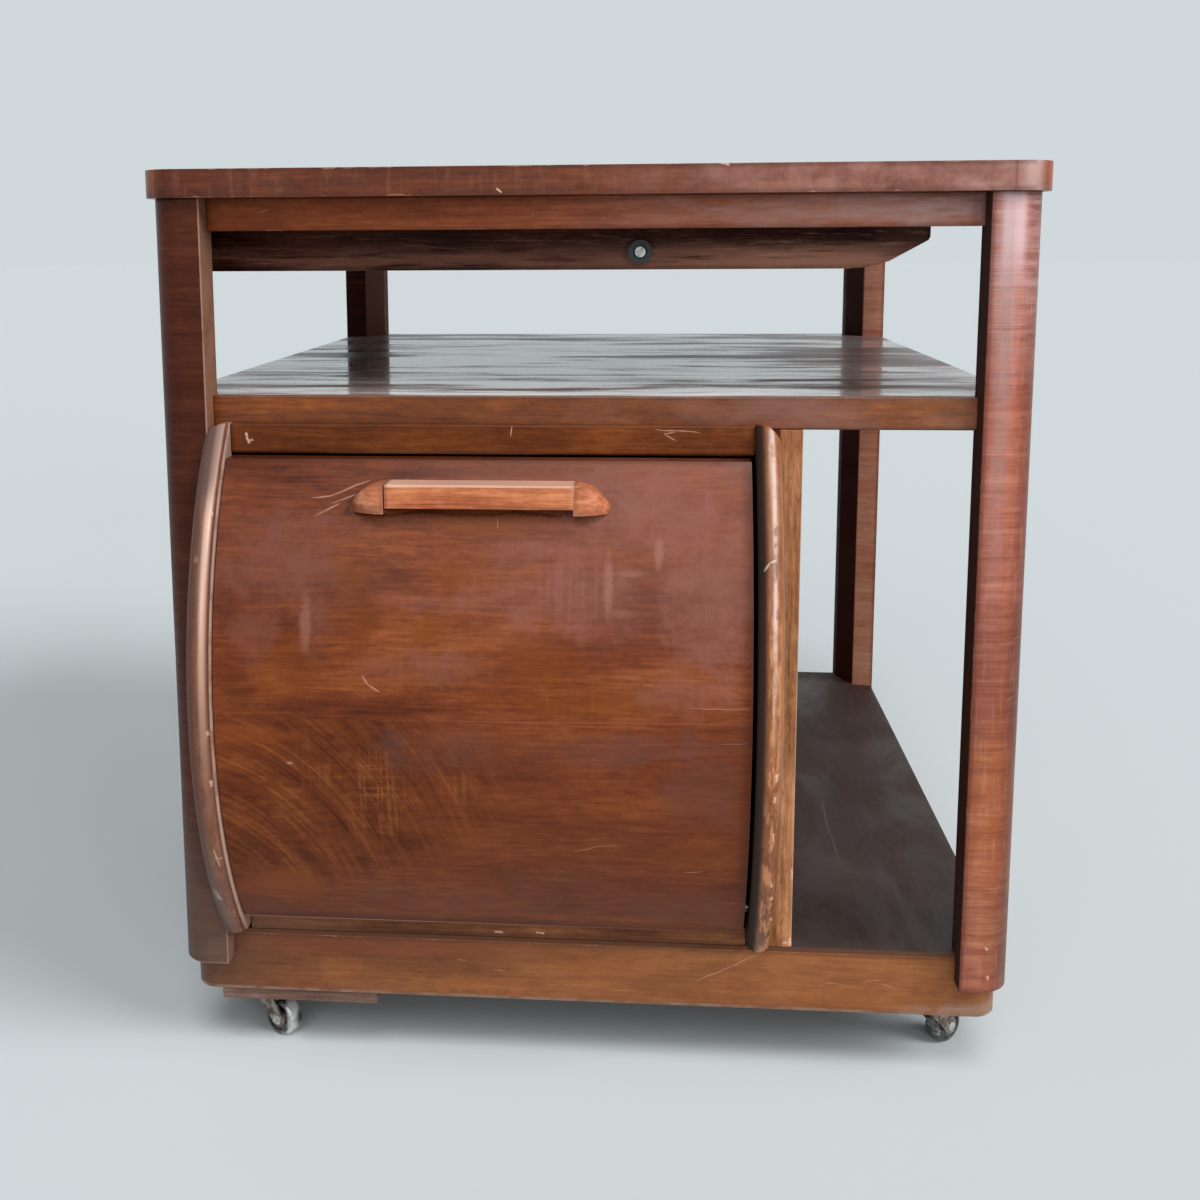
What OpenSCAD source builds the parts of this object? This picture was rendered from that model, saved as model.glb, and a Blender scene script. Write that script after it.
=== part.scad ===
// Serving cart with a round-cornered top, a middle shelf, a bow-fronted
// tip-out compartment beside an open bay, a tray under the top and four castors.
// Units are millimetres. The cart stands on z = 0 with its front facing -Y.

/* [Body] */
// Width over the corner posts
body_w = 612; // [580:1:640]
// Depth over the corner posts
body_d = 720; // [680:1:780]
// Height of the top surface above the ground
total_h = 671; // [660:1:690]

/* [Top board] */
// Thickness of the top board
top_t = 19.5; // [18:0.5:22]
// How far the top stands out past the posts
top_overhang = 6; // [4:0.5:9]
// Corner radius of the top board in plan
top_corner_r = 28; // [24:1:34]

/* [Corner posts] */
// Radius of the rounded outer corner of a post
post_round_r = 22; // [16:1:26]
// Width of a post seen from the front
post_face = 37; // [34:1:40]
// Depth of the flat inner side of a post
post_inner_v = 27; // [24:1:30]
// Width of the strip at the back of a post
post_back_w = 22; // [19:1:25]
// Depth of a post where that strip starts
post_back_v = 60; // [56:1:61]
// Depth of a post along the side of the cart
post_depth = 66; // [64:1:68]
// Height at which the skirt of a post ends
post_foot_z = 83; // [76:1:90]

/* [Rails and shelf] */
// How far rails, shelf and plinth stand back from the post fronts
set_back = 16; // [14:0.5:18]
// Thickness of the upper rails
rail_t = 20; // [18:1:24]
// Height of the front and rear rails
rail_h = 22.8; // [21:0.2:25]
// Height of the side rails
side_rail_h = 17.5; // [16:0.5:18]
// Height of the shelf surface
shelf_z = 512.5; // [505:0.5:520]
// Thickness of the shelf
shelf_t = 23.2; // [20:0.2:26]
// How far shelf and floor board stand back from the sides of the posts
side_inset = 1.5; // [1:0.5:3]

/* [Base] */
// Underside of the plinth
plinth_z = 55.3; // [52:0.1:60]
// Height of the plinth
plinth_h = 45.7; // [42:0.1:48]
// Thickness of the plinth boards
plinth_t = 20; // [18:1:24]
// How far the plinth stands back from the sides of the posts
plinth_inset = 4.5; // [4:0.5:6]
// Corner radius of the plinth
plinth_r = 18; // [14:1:18]
// Thickness of the floor board
floor_t = 3.5; // [3:0.5:5]

/* [Compartment] */
// Clear width between the two curved mouldings
comp_w = 373; // [350:1:385]
// Width of a curved moulding
moulding_w = 17; // [15:1:19]
// How far the left moulding laps over the post
moulding_lap = 3.5; // [2:0.5:4]
// Height of a moulding above the face of the door
moulding_rise = 9; // [8.5:0.5:12]
// Thickness of the partition
partition_t = 16.5; // [14:0.5:20]
// Thickness of the back panel
back_t = 12; // [9:1:15]
// Radius of the rounded upper end of a moulding
moulding_top_r = 14; // [8:1:15]
// Radius of the rounded lower end of a moulding
moulding_foot_r = 10; // [6:1:14]
// Radius of the bowed door face
bow_r = 304; // [298:1:310]
// Height of the centre of the bow above the middle of the door
bow_lift = 1.5; // [-2:0.5:5]
// How far the top edge of the door stands before the post fronts
door_top_out = 3.3; // [1:0.1:5]
// Height of the lower edge of the door above the plinth
door_lift = 22.5; // [21:0.5:25]
// How far the upper edge of the door lies below the shelf
door_drop = 19.9; // [19.3:0.1:23]
// Thickness of the door
door_t = 14; // [12:0.5:16]
// Gap beside the door on the left
door_gap_l = 0.8; // [0.5:0.1:2]
// Gap beside the door on the right
door_gap_r = 3.3; // [1.5:0.1:4]
// Gap between door and header
header_gap = 1.6; // [1.2:0.1:3]
// How far the header strip reaches up before the shelf edge
header_lap = 3.7; // [2:0.1:7]
// How far the header stands back from the post fronts
header_y = 10; // [8:0.5:12]
// Height of the sill strip above the floor board
sill_h = 13.5; // [9:0.5:14.5]
// Height of the lower ends of the curved mouldings above the plinth
moulding_lift = 8; // [5:0.5:13]

/* [Tip-out box] */
// Distance of the pivot behind the post fronts
pivot_y = 13; // [12.5:0.5:15]
// Height of the pivot above the lower edge of the door
pivot_lift = 12.5; // [10.5:0.5:14]
// Radius of the pivot pins
pin_r = 3; // [2.5:0.1:3.5]
// Thickness of the side pieces of the box
cheek_t = 9; // [8:0.5:11]
// Depth of the box behind the post fronts
box_depth = 160; // [130:1:200]
// Reach of the side pieces from the pivot
cheek_reach = 325; // [300:1:326]
// Thickness of the floor and the back of the box
box_board_t = 9; // [7:0.5:11]
// Height of the box floor above the pivot
box_floor_lift = 10; // [8:0.5:16]
// Height of the box back above the pivot
box_back_rise = 255; // [200:1:270]

/* [Handle] */
// Length of the straight grip
grip_l = 130; // [110:1:150]
// Length of a rounded end
grip_end_l = 28; // [26:1:32]
// Radius of a rounded end in plan
grip_plan_r = 24; // [20:1:25]
// Open joint at the left end of the grip
grip_joint = 0.8; // [0.4:0.1:1.2]
// How far the grip lies below the upper edge of the door
grip_drop = 12.9; // [11:0.1:20]
// Height of the grip
grip_h = 16.5; // [15:0.5:20]
// Distance of the grip face before the post fronts
grip_y = 33; // [31:0.5:35]
// How much lower the rounded ends reach
grip_end_drop = 4; // [2:0.5:5]
// Sideways place of the handle from the middle of the compartment
grip_shift = -3; // [-10:1:10]
// Radius of the finger groove under the grip
finger_r = 6; // [5:0.5:7]

/* [Tray] */
// How far the upper edge of the tray lies below the top board
tray_drop = 19; // [18.5:0.5:21]
// Height of the tray sides
tray_h = 33; // [31:0.5:33]
// Thickness of the tray sides
tray_side_t = 14; // [12:0.5:16]
// Height of the runner groove above the underside of the tray
groove_up = 17.5; // [16:0.5:19]
// Space between the tray and the posts
tray_post_gap = 4; // [2:0.5:6]
// How far the tray end stands back from the side of the cart
tray_end_inset = 5; // [3:0.5:8]
// Distance of the free end of the tray from the right side
tray_short = 63; // [56:1:70]
// Length of the slanted cut at the free end
tray_cut_l = 57; // [50:1:62]
// Height of the slanted cut
tray_cut_h = 20; // [17:0.5:22]
// Thickness of the tray ends
tray_end_t = 12; // [10:0.5:14]
// Thickness of the tray bottom
tray_bottom_t = 4.5; // [4:0.5:6]
// Running clearance of the tray in its runners
slide_gap = 0.5; // [0.4:0.1:0.8]

/* [Buffer] */
// Place of the buffer from the middle of the cart
buffer_x = 36.5; // [0:0.5:80]
// Height of the buffer above the underside of the tray
buffer_up = 12.7; // [11:0.1:14]
// Radius of the buffer
buffer_r = 8.7; // [7:0.1:9]
// Length of the buffer
buffer_l = 7; // [5:0.5:7.5]
// Radius of the screw head
screw_head_r = 3.8; // [3:0.1:4.4]
// Tilt of the screw slot in degrees
slot_tilt = 62; // [0:1:180]

/* [Castors] */
// Sideways distance of a castor pivot from the side of the cart
castor_u = 46; // [45:1:60]
// Distance of a left castor pivot from the front or rear
castor_v_left = 61; // [58:1:80]
// Distance of a right castor pivot from the front or rear
castor_v_right = 67; // [62:1:80]
// Radius of a wheel
wheel_r = 14; // [12:0.5:15]
// Width of a wheel
wheel_w = 12; // [10:0.5:14]
// Distance of the wheel axle from the pivot
trail = 21; // [18:0.5:22]
// Thickness of the mounting blocks
block_t = 9.3; // [8:0.1:10]
// Length of the mounting blocks
block_l = 120; // [90:1:140]
// How far the left blocks stand back from the face of the plinth
block_back_left = 2; // [1:0.5:8]
// How far the right blocks stand back from the face of the plinth
block_back_right = 22; // [20:0.5:24]
// Width of the square castor plate
plate_w = 36; // [34:1:40]
// Direction of the front left castor
turn_fl = -28; // [-180:1:180]
// Direction of the front right castor
turn_fr = 40; // [-180:1:180]
// Direction of the rear left castor
turn_rl = 15; // [-180:1:180]
// Direction of the rear right castor
turn_rr = -35; // [-180:1:180]

/* [Hidden] */
$fn = 144;
eps = 1;
fit_gap = 0.05;
half_w = body_w / 2;
half_d = body_d / 2;
top_z = total_h - top_t;
plinth_top = plinth_z + plinth_h;
floor_z = plinth_top + floor_t;
shelf_bottom = shelf_z - shelf_t;
door_z0 = plinth_top + door_lift;
door_z1 = shelf_bottom - door_drop;

bow_z = (door_z0 + door_z1) / 2 + bow_lift;
bow_depth = sqrt(bow_r * bow_r - (door_z1 - bow_z) * (door_z1 - bow_z)) - door_top_out;
bow_reach = bow_r + moulding_rise - bow_depth;
mid_y = (bow_reach - top_overhang) / 2;
front_y = mid_y - half_d;
rear_y = mid_y + half_d;
post_in_x = half_w - post_face;
rail_front_y = front_y + set_back;
rail_rear_y = rear_y - set_back;

lining_gap = 1;
comp_x0 = -post_in_x - moulding_lap + moulding_w;
comp_x1 = comp_x0 + comp_w;
wall_x1 = comp_x0 - lining_gap;
partition_x = comp_x1 + moulding_w;
guide_x0 = comp_x1 + lining_gap;
guide_depth = 60;
wrap_depth = 60;
back_inset = 18;
door_x0 = comp_x0 + door_gap_l;
door_x1 = comp_x1 - door_gap_r;
bow_y = front_y + bow_depth;
bow_back_r = bow_r - 12;
moulding_round = moulding_w / 2;
moulding_z0 = plinth_top + moulding_lift;
header_z0 = door_z1 + header_gap;
header_z1 = shelf_bottom + header_lap;
header_back = 30;
sill_t = 20;
sill_z1 = floor_z + sill_h;
pin_y = front_y + pivot_y;
pivot_z = door_z0 + pivot_lift;
cheek_side_gap = 1;
box_z0 = door_z0 + 0.5;
box_floor_z = pivot_z + box_floor_lift;
box_back_top = pivot_z + box_back_rise;
grip_x = (comp_x0 + comp_x1) / 2 + grip_shift;
grip_z1 = door_z1 - grip_drop;
grip_z0 = grip_z1 - grip_h;
grip_front_r = grip_end_l;

tray_back_gap = 2;
tray_floor_up = 2;
groove_land = 3;
runner_end_gap = 18;
runner_short = 8;
tray_top = top_z - tray_drop;
tray_z = tray_top - tray_h;
tray_x0 = -half_w + tray_end_inset;
tray_x1 = half_w - tray_short;
tray_y0 = front_y + post_depth + tray_post_gap;
tray_y1 = 2 * mid_y - tray_y0;
tray_in_x = tray_x0 + tray_end_t;
tray_cut_x = tray_x1 - tray_cut_l;
tray_back_x = tray_cut_x - tray_end_t - tray_back_gap;
tray_floor_z = tray_z + tray_floor_up;
groove_z = tray_z + groove_up;
groove_h = 6;
groove_deep = 4;
tray_back_h = groove_up - groove_land;
runner_t = 10;
runner_x0 = -half_w + side_inset + rail_t + runner_end_gap;
runner_x1 = tray_x1 - runner_short;
screw_r = 1.75;
screw_head_t = 2.2;
buffer_floor = 2.5;
buffer_hole_r = 5.2;
screw_deep = 8;
slot_w = 0.9;
slot_deep = 0.9;

block_z = plinth_z - block_t;
plate_rim = 2;
plinth_bearing = 8;
skirt_reach = 120;
plate_t = 1.8;
boss_t = 2;
boss_r = 11;
swivel_gap = 0.3;
king_r = 3;
crown_r = 13.5;
crown_z1 = block_z - plate_t - boss_t - swivel_gap;
crown_t = 3.4;
arm_t = 1.8;
arm_gap = 0.6;
arm_y = wheel_w / 2 + arm_gap;
arm_end_r = 6.5;
arm_top_half = 10.5;
axle_r = 2.5;
axle_head_r = 3.8;
axle_head_t = 1;
plate_screw_r = 1.6;
plate_screw_head_r = 3;
plate_screw_head_t = 1.2;
plate_screw_l = 5;
plate_screw_in = 6;

module flip_x(on) {
    if (on) mirror([1, 0, 0]) children();
    else children();
}

// Mirrors front to rear about the middle of the body.
module flip_y(on) {
    if (on) translate([0, 2 * mid_y, 0]) mirror([0, 1, 0]) children();
    else children();
}

// A corner frame: +x runs inwards from the side, +y inwards from the end.
module at_corner(right, rear) {
    flip_x(right)
        flip_y(rear)
            translate([-half_w, front_y, 0])
                children();
}

// A lying cylinder along X.
module rod_x(x0, x1, y, z, r) {
    translate([x0, y, z])
        rotate([0, 90, 0])
            cylinder(h = x1 - x0, r = r);
}

// A lying cylinder along Y.
module rod_y(y0, y1, x, z, r) {
    translate([x, y1, z])
        rotate([90, 0, 0])
            cylinder(h = y1 - y0, r = r);
}

module box(x0, x1, y0, y1, z0, z1) {
    translate([x0, y0, z0])
        cube([x1 - x0, y1 - y0, z1 - z0]);
}

// Top board with rounded corners in plan.
module top_board() {
    w = half_w + top_overhang;
    d = half_d + top_overhang;
    r = top_corner_r;
    color("#6d3420") {
        union() {
            box(-w + r, w - r, mid_y - d, mid_y + d, top_z, total_h);
            box(-w, w, mid_y - d + r, mid_y + d - r, top_z, total_h);
            for (x = [-w + r, w - r])
                for (y = [mid_y - d + r, mid_y + d - r])
                    translate([x, y, top_z])
                        cylinder(h = top_t, r = r);
        }
    }
}

// Outline of a post in its corner frame: quarter round outside,
// a flat inner side, a slanted inner face and a strip at the back.
module post_prism(z0, z1) {
    translate([0, 0, z0]) {
        linear_extrude(height = z1 - z0)
            polygon([
                [0, post_depth], [post_back_w, post_back_v],
                [post_face, post_inner_v], [post_face, 0],
                [post_round_r, 0], [post_round_r, post_round_r], [0, post_round_r]
            ]);
        intersection() {
            translate([post_round_r, post_round_r, 0])
                cylinder(h = z1 - z0, r = post_round_r);
            cube([post_round_r, post_round_r, z1 - z0]);
        }
    }
}

// The space that a post takes out of a board, open towards the outside.
module post_notch(z0, z1) {
    translate([0, 0, z0 - eps])
        linear_extrude(height = z1 - z0 + 2 * eps)
            polygon([
                [-10, post_depth], [0, post_depth], [post_back_w, post_back_v],
                [post_face, post_inner_v], [post_face, -10], [-10, -10]
            ]);
}

module all_post_notches(z0, z1) {
    for (right = [false, true])
        for (rear = [false, true])
            at_corner(right, rear)
                post_notch(z0, z1);
}

// Rounded outline of the plinth in a corner frame.
module plinth_corner(z0, z1) {
    u = plinth_inset;
    v = set_back;
    box(u + plinth_r, skirt_reach, v, skirt_reach, z0, z1);
    box(u, skirt_reach, v + plinth_r, skirt_reach, z0, z1);
    translate([u + plinth_r, v + plinth_r, z0])
        cylinder(h = z1 - z0, r = plinth_r);
}

// Post standing on the plinth, with a skirt that laps over the plinth corner.
module post(right, rear) {
    color("#6b2c1b")
        at_corner(right, rear)
            union() {
                post_prism(plinth_top, top_z);
                difference() {
                    post_prism(post_foot_z, plinth_top);
                    plinth_corner(post_foot_z - eps, plinth_top + eps);
                }
            }
}

module end_rail(rear) {
    color("#6d3420")
        flip_y(rear)
            box(-post_in_x, post_in_x, rail_front_y, rail_front_y + rail_t, top_z - rail_h, top_z);
}

module side_rail(right) {
    color("#6d3420")
        flip_x(right)
            difference() {
                box(-half_w + side_inset, -half_w + side_inset + rail_t,
                    front_y + post_inner_v, rear_y - post_inner_v, top_z - side_rail_h, top_z);
                for (rear = [false, true])
                    at_corner(false, rear)
                        post_notch(top_z - side_rail_h, top_z);
            }
}

// A board that fills the body between the posts.
module notched_board(z0, z1) {
    difference() {
        box(-half_w + side_inset, half_w - side_inset,
            rail_front_y, rail_rear_y, z0, z1);
        all_post_notches(z0, z1);
    }
}

module middle_shelf() {
    color("#7a4a33")
        notched_board(shelf_bottom, shelf_z);
}

module floor_board() {
    color("#3b2019")
        notched_board(plinth_top, floor_z);
}

module partition() {
    color("#80431f")
        box(partition_x, partition_x + partition_t, rail_front_y, rail_rear_y,
            floor_z, shelf_bottom);
}

// The bowed outline of the compartment front, cut to a box.
module bow_fill(x0, x1, r, y1, z0, z1) {
    intersection() {
        rod_x(x0, x1, bow_y, bow_z, r);
        box(x0, x1, bow_y - r - eps, y1, z0, z1);
    }
}

module compartment_side() {
    color("#5f3320")
        difference() {
            union() {
                box(-post_in_x, wall_x1, rail_front_y, rail_rear_y, floor_z, shelf_bottom);
                bow_fill(-post_in_x, wall_x1, bow_back_r, rail_front_y + set_back,
                    moulding_z0, shelf_bottom);
            }
            rod_x(-post_in_x + 4, wall_x1 + eps, pin_y, pivot_z, pin_r + fit_gap);
        }
}

module door_guide() {
    color("#5f3320")
        difference() {
            union() {
                box(guide_x0, partition_x, rail_front_y, rail_front_y + guide_depth,
                    floor_z, shelf_bottom);
                bow_fill(guide_x0, partition_x, bow_back_r, rail_front_y + set_back,
                    moulding_z0, shelf_bottom);
            }
            rod_x(guide_x0 - eps, partition_x - 4, pin_y, pivot_z, pin_r + fit_gap);
        }
}

module compartment_back() {
    color("#5f3320")
        box(wall_x1, partition_x, rear_y - back_inset - back_t, rear_y - back_inset,
            floor_z, shelf_bottom);
}

// Header under and before the shelf edge, above the door.
module header_strip() {
    color("#74391f")
        union() {
            box(comp_x0, comp_x1, front_y + header_y, rail_front_y, header_z0, header_z1);
            box(comp_x0, comp_x1, rail_front_y - eps, front_y + header_back, header_z0,
                shelf_bottom);
        }
}

module sill_strip() {
    color("#74391f")
        box(comp_x0, comp_x1, rail_front_y, rail_front_y + sill_t, floor_z, sill_z1);
}

// Front outline of a moulding, rounded at both ends of its outer side.
module moulding_outline(x0) {
    x1 = x0 + moulding_w;
    y0 = front_y - bow_reach - eps;
    y1 = front_y + wrap_depth;
    box(x0, x1, y0, y1, moulding_z0 + moulding_foot_r, header_z1 - moulding_top_r);
    box(x0 + moulding_foot_r, x1, y0, y1, moulding_z0, header_z1 - moulding_top_r);
    box(x0 + moulding_top_r, x1, y0, y1, moulding_z0 + moulding_foot_r, header_z1);
    rod_y(y0, y1, x0 + moulding_top_r, header_z1 - moulding_top_r, moulding_top_r);
    rod_y(y0, y1, x0 + moulding_foot_r, moulding_z0 + moulding_foot_r, moulding_foot_r);
}

// Half-round section of a moulding, at its distance from the centre of the bow.
module moulding_section() {
    crown_r = bow_r + moulding_rise - moulding_round;
    translate([bow_back_r, -moulding_round])
        square([crown_r - bow_back_r, moulding_w]);
    intersection() {
        translate([crown_r, 0])
            circle(r = moulding_round);
        translate([bow_back_r, -moulding_round])
            square([bow_r, moulding_w]);
    }
}

// The space behind a moulding for the boards, and for the post that it laps over.
module moulding_seat(x0, lap) {
    translate([0, 0, plinth_z])
        linear_extrude(height = shelf_z - plinth_z)
            polygon([
                [x0 - eps, front_y], [x0 + lap, front_y], [x0 + lap, rail_front_y],
                [x0 + moulding_w + eps, rail_front_y],
                [x0 + moulding_w + eps, front_y + wrap_depth + eps],
                [x0 - eps, front_y + wrap_depth + eps]
            ]);
}

// Half-round moulding that follows the bow of the door.
module moulding(x0, right) {
    color("#8a4b2a")
        intersection() {
            translate([x0 + moulding_round, bow_y, bow_z])
                rotate([0, 90, 0])
                    rotate_extrude()
                        moulding_section();
            difference() {
                translate([right ? 2 * x0 + moulding_w : 0, 0, 0])
                    flip_x(right)
                        moulding_outline(x0);
                moulding_seat(x0, right ? 0 : moulding_lap);
            }
        }
}

// Plinth board across one end, with rounded outer corners.
module plinth_end(rear) {
    h = half_w - plinth_inset;
    color("#74391f")
        flip_y(rear)
            difference() {
                union() {
                    box(-h + plinth_r, h - plinth_r, rail_front_y, rail_front_y + plinth_t,
                        plinth_z, plinth_top);
                    box(-h, h, rail_front_y + plinth_r, rail_front_y + plinth_t,
                        plinth_z, plinth_top);
                    for (x = [-h + plinth_r, h - plinth_r])
                        translate([x, rail_front_y + plinth_r, plinth_z])
                            cylinder(h = plinth_h, r = plinth_r);
                }
                box(-h - eps, h + eps, rail_front_y + plinth_t, rail_front_y + 3 * plinth_t,
                    plinth_z - eps, plinth_top + eps);
            }
}

module plinth_side(right) {
    color("#74391f")
        flip_x(right)
            box(-half_w + plinth_inset, -half_w + plinth_inset + plinth_t,
                rail_front_y + plinth_t, rail_rear_y - plinth_t, plinth_z, plinth_top);
}

function castor_v(right) = right ? castor_v_right : castor_v_left;
function block_u(right) = right ? plinth_inset + plinth_t - plinth_bearing
    : castor_u - plate_w / 2 - plate_rim;
function block_v0(right) = set_back + (right ? block_back_right : block_back_left);

module plate_screw_places(right) {
    for (u = [-1, 1])
        for (v = [-1, 1])
            translate([castor_u + u * (plate_w / 2 - plate_screw_in),
                castor_v(right) + v * (plate_w / 2 - plate_screw_in), 0])
                children();
}

// Four mounting blocks under the plinth.
module castor_blocks() {
    color("#8a6a4a")
        for (right = [false, true])
            for (rear = [false, true])
                at_corner(right, rear)
                    difference() {
                        box(block_u(right), block_u(right) + block_l, block_v0(right),
                            castor_v(right) + plate_w / 2 + plate_rim, block_z, plinth_z);
                        plate_screw_places(right)
                            translate([0, 0, block_z - eps])
                                cylinder(h = plate_screw_l + 2 * eps, r = plate_screw_r);
                    }
}

module castor_screws() {
    color("#8d8a84")
        for (right = [false, true])
            for (rear = [false, true])
                at_corner(right, rear)
                    plate_screw_places(right)
                        translate([0, 0, block_z - plate_t - plate_screw_head_t]) {
                            cylinder(h = plate_screw_head_t, r = plate_screw_head_r);
                            cylinder(h = plate_screw_head_t + plate_t + plate_screw_l,
                                r = plate_screw_r - fit_gap);
                        }
}

// Runner under the top with a tongue for the groove of the tray side.
module runner(rear) {
    y0 = tray_y0 + tray_side_t;
    color("#5a3623")
        flip_y(rear) {
            box(runner_x0, runner_x1, y0 + slide_gap, y0 + runner_t, groove_z + slide_gap, top_z);
            box(runner_x0, runner_x1, y0 - groove_deep + slide_gap, y0 + slide_gap + eps,
                groove_z + slide_gap, groove_z + groove_h - slide_gap);
        }
}

module pivot_pin_left() {
    color("#77746f")
        rod_x(-post_in_x + 4, door_x0 + cheek_side_gap + cheek_t, pin_y, pivot_z, pin_r);
}

module pivot_pin_right() {
    color("#77746f")
        rod_x(door_x1 - cheek_side_gap - cheek_t, partition_x - 4, pin_y, pivot_z, pin_r);
}

// Bowed door: a slice of a lying tube.
module door_panel() {
    color("#5c2418")
        difference() {
            bow_fill(door_x0, door_x1, bow_r, front_y + wrap_depth, door_z0, door_z1);
            rod_x(door_x0 - eps, door_x1 + eps, bow_y, bow_z, bow_r - door_t);
        }
}

// Side piece of the tip-out box, rounded about the pivot.
module box_cheek(x0) {
    color("#6a3d27")
        difference() {
            intersection() {
                rod_x(x0, x0 + cheek_t, bow_y, bow_z, bow_r - door_t);
                rod_x(x0, x0 + cheek_t, pin_y, pivot_z, cheek_reach);
                box(x0, x0 + cheek_t, front_y - bow_reach, front_y + box_depth,
                    box_z0, door_z1);
            }
            rod_x(x0 - eps, x0 + cheek_t + eps, pin_y, pivot_z, pin_r + fit_gap);
        }
}

module box_floor() {
    color("#6a3d27")
        bow_fill(door_x0 + cheek_side_gap + cheek_t, door_x1 - cheek_side_gap - cheek_t,
            bow_r - door_t, front_y + box_depth - box_board_t,
            box_floor_z, box_floor_z + box_board_t);
}

module box_back() {
    color("#6a3d27")
        box(door_x0 + cheek_side_gap + cheek_t, door_x1 - cheek_side_gap - cheek_t,
            front_y + box_depth - box_board_t, front_y + box_depth,
            box_floor_z, box_back_top);
}

// The solid behind the face of the door, to fit the handle to the bow.
module door_body() {
    rod_x(grip_x - grip_l, grip_x + grip_l, bow_y, bow_z, bow_r);
}

module handle_grip() {
    color("#b0683a")
        difference() {
            box(grip_x - grip_l / 2, grip_x + grip_l / 2, front_y - grip_y, front_y + 4,
                grip_z0, grip_z1);
            door_body();
            rod_x(grip_x - grip_l / 2 - eps, grip_x + grip_l / 2 + eps,
                front_y - grip_y + finger_r + 4, grip_z0 - 2, finger_r);
        }
}

// End of the handle, rounded in front view and in plan.
module handle_end(left) {
    x0 = grip_l / 2 + (left ? grip_joint : 0);
    x1 = grip_l / 2 + grip_end_l;
    y0 = front_y - grip_y;
    color("#a9623a")
        translate([grip_x, 0, 0])
            flip_x(left)
                difference() {
                    intersection() {
                        union() {
                            box(x0, x1 - grip_plan_r, y0, front_y + 4,
                                grip_z0 - grip_end_drop, grip_z1);
                            translate([x1 - grip_plan_r, y0 + grip_plan_r,
                                grip_z0 - grip_end_drop])
                                cylinder(h = grip_h + grip_end_drop, r = grip_plan_r);
                        }
                        box(x0, x1, y0 - eps, front_y + 4,
                            grip_z0 - grip_end_drop - eps, grip_z1 + eps);
                        rod_y(y0 - eps, front_y + 10, x1 - grip_front_r,
                            grip_z1 - grip_front_r, grip_front_r);
                    }
                    rod_x(x0 - eps, x1 + eps, bow_y, bow_z, bow_r);
                }
}

// Outline of a tray side with its slanted free end, seen from the front.
module tray_outline() {
    polygon([
        [tray_in_x, tray_z], [tray_cut_x, tray_z],
        [tray_cut_x + tray_cut_l * 0.24, tray_z + tray_cut_h * 0.06],
        [tray_cut_x + tray_cut_l * 0.5, tray_z + tray_cut_h * 0.26],
        [tray_x1 - 1.2, tray_z + tray_cut_h], [tray_x1, tray_z + tray_cut_h + 2.5],
        [tray_x1, tray_top], [tray_in_x, tray_top]
    ]);
}

module tray_side(rear) {
    color("#4d2b20")
        flip_y(rear)
            difference() {
                translate([0, tray_y0 + tray_side_t, 0])
                    rotate([90, 0, 0])
                        linear_extrude(height = tray_side_t)
                            tray_outline();
                box(tray_in_x - eps, tray_x1 + eps, tray_y0 + tray_side_t - groove_deep,
                    tray_y0 + tray_side_t + eps, groove_z, groove_z + groove_h);
                if (!rear)
                    rod_y(tray_y0 - eps, tray_y0 + screw_deep, buffer_x,
                        tray_z + buffer_up, screw_r + fit_gap);
            }
}

module tray_front() {
    color("#5c2f1f")
        box(tray_x0, tray_in_x, tray_y0, tray_y1, tray_z, tray_top);
}

module tray_back() {
    color("#5c2f1f")
        box(tray_back_x, tray_back_x + tray_end_t, tray_y0 + tray_side_t,
            tray_y1 - tray_side_t, tray_z, tray_z + tray_back_h);
}

module tray_bottom() {
    color("#6a4430")
        box(tray_in_x, tray_back_x, tray_y0 + tray_side_t, tray_y1 - tray_side_t,
            tray_floor_z, tray_floor_z + tray_bottom_t);
}

// Round buffer with a recess, screwed to the side of the tray.
module buffer_ring() {
    color("#141414")
        difference() {
            rod_y(tray_y0 - buffer_l, tray_y0, buffer_x, tray_z + buffer_up, buffer_r);
            rod_y(tray_y0 - buffer_l - eps, tray_y0 - buffer_floor, buffer_x,
                tray_z + buffer_up, buffer_hole_r);
            rod_y(tray_y0 - buffer_l - eps, tray_y0 + eps, buffer_x,
                tray_z + buffer_up, screw_r + fit_gap);
        }
}

module buffer_screw() {
    head_y = tray_y0 - buffer_floor - screw_head_t;
    color("#b9b6ae")
        difference() {
            union() {
                rod_y(head_y, tray_y0 - buffer_floor, buffer_x, tray_z + buffer_up,
                    screw_head_r);
                rod_y(head_y, tray_y0 + screw_deep - eps, buffer_x, tray_z + buffer_up,
                    screw_r);
            }
            translate([buffer_x, head_y, tray_z + buffer_up])
                rotate([0, -slot_tilt, 0])
                    box(-screw_head_r - eps, screw_head_r + eps, -eps, slot_deep,
                        -slot_w / 2, slot_w / 2);
        }
}

// Places a castor part over its pivot, turned to its resting direction.
module at_castor(right, rear, turn) {
    translate([(right ? 1 : -1) * (half_w - castor_u),
        mid_y + (rear ? 1 : -1) * (half_d - castor_v(right)), 0])
        rotate([0, 0, turn])
            children();
}

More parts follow.
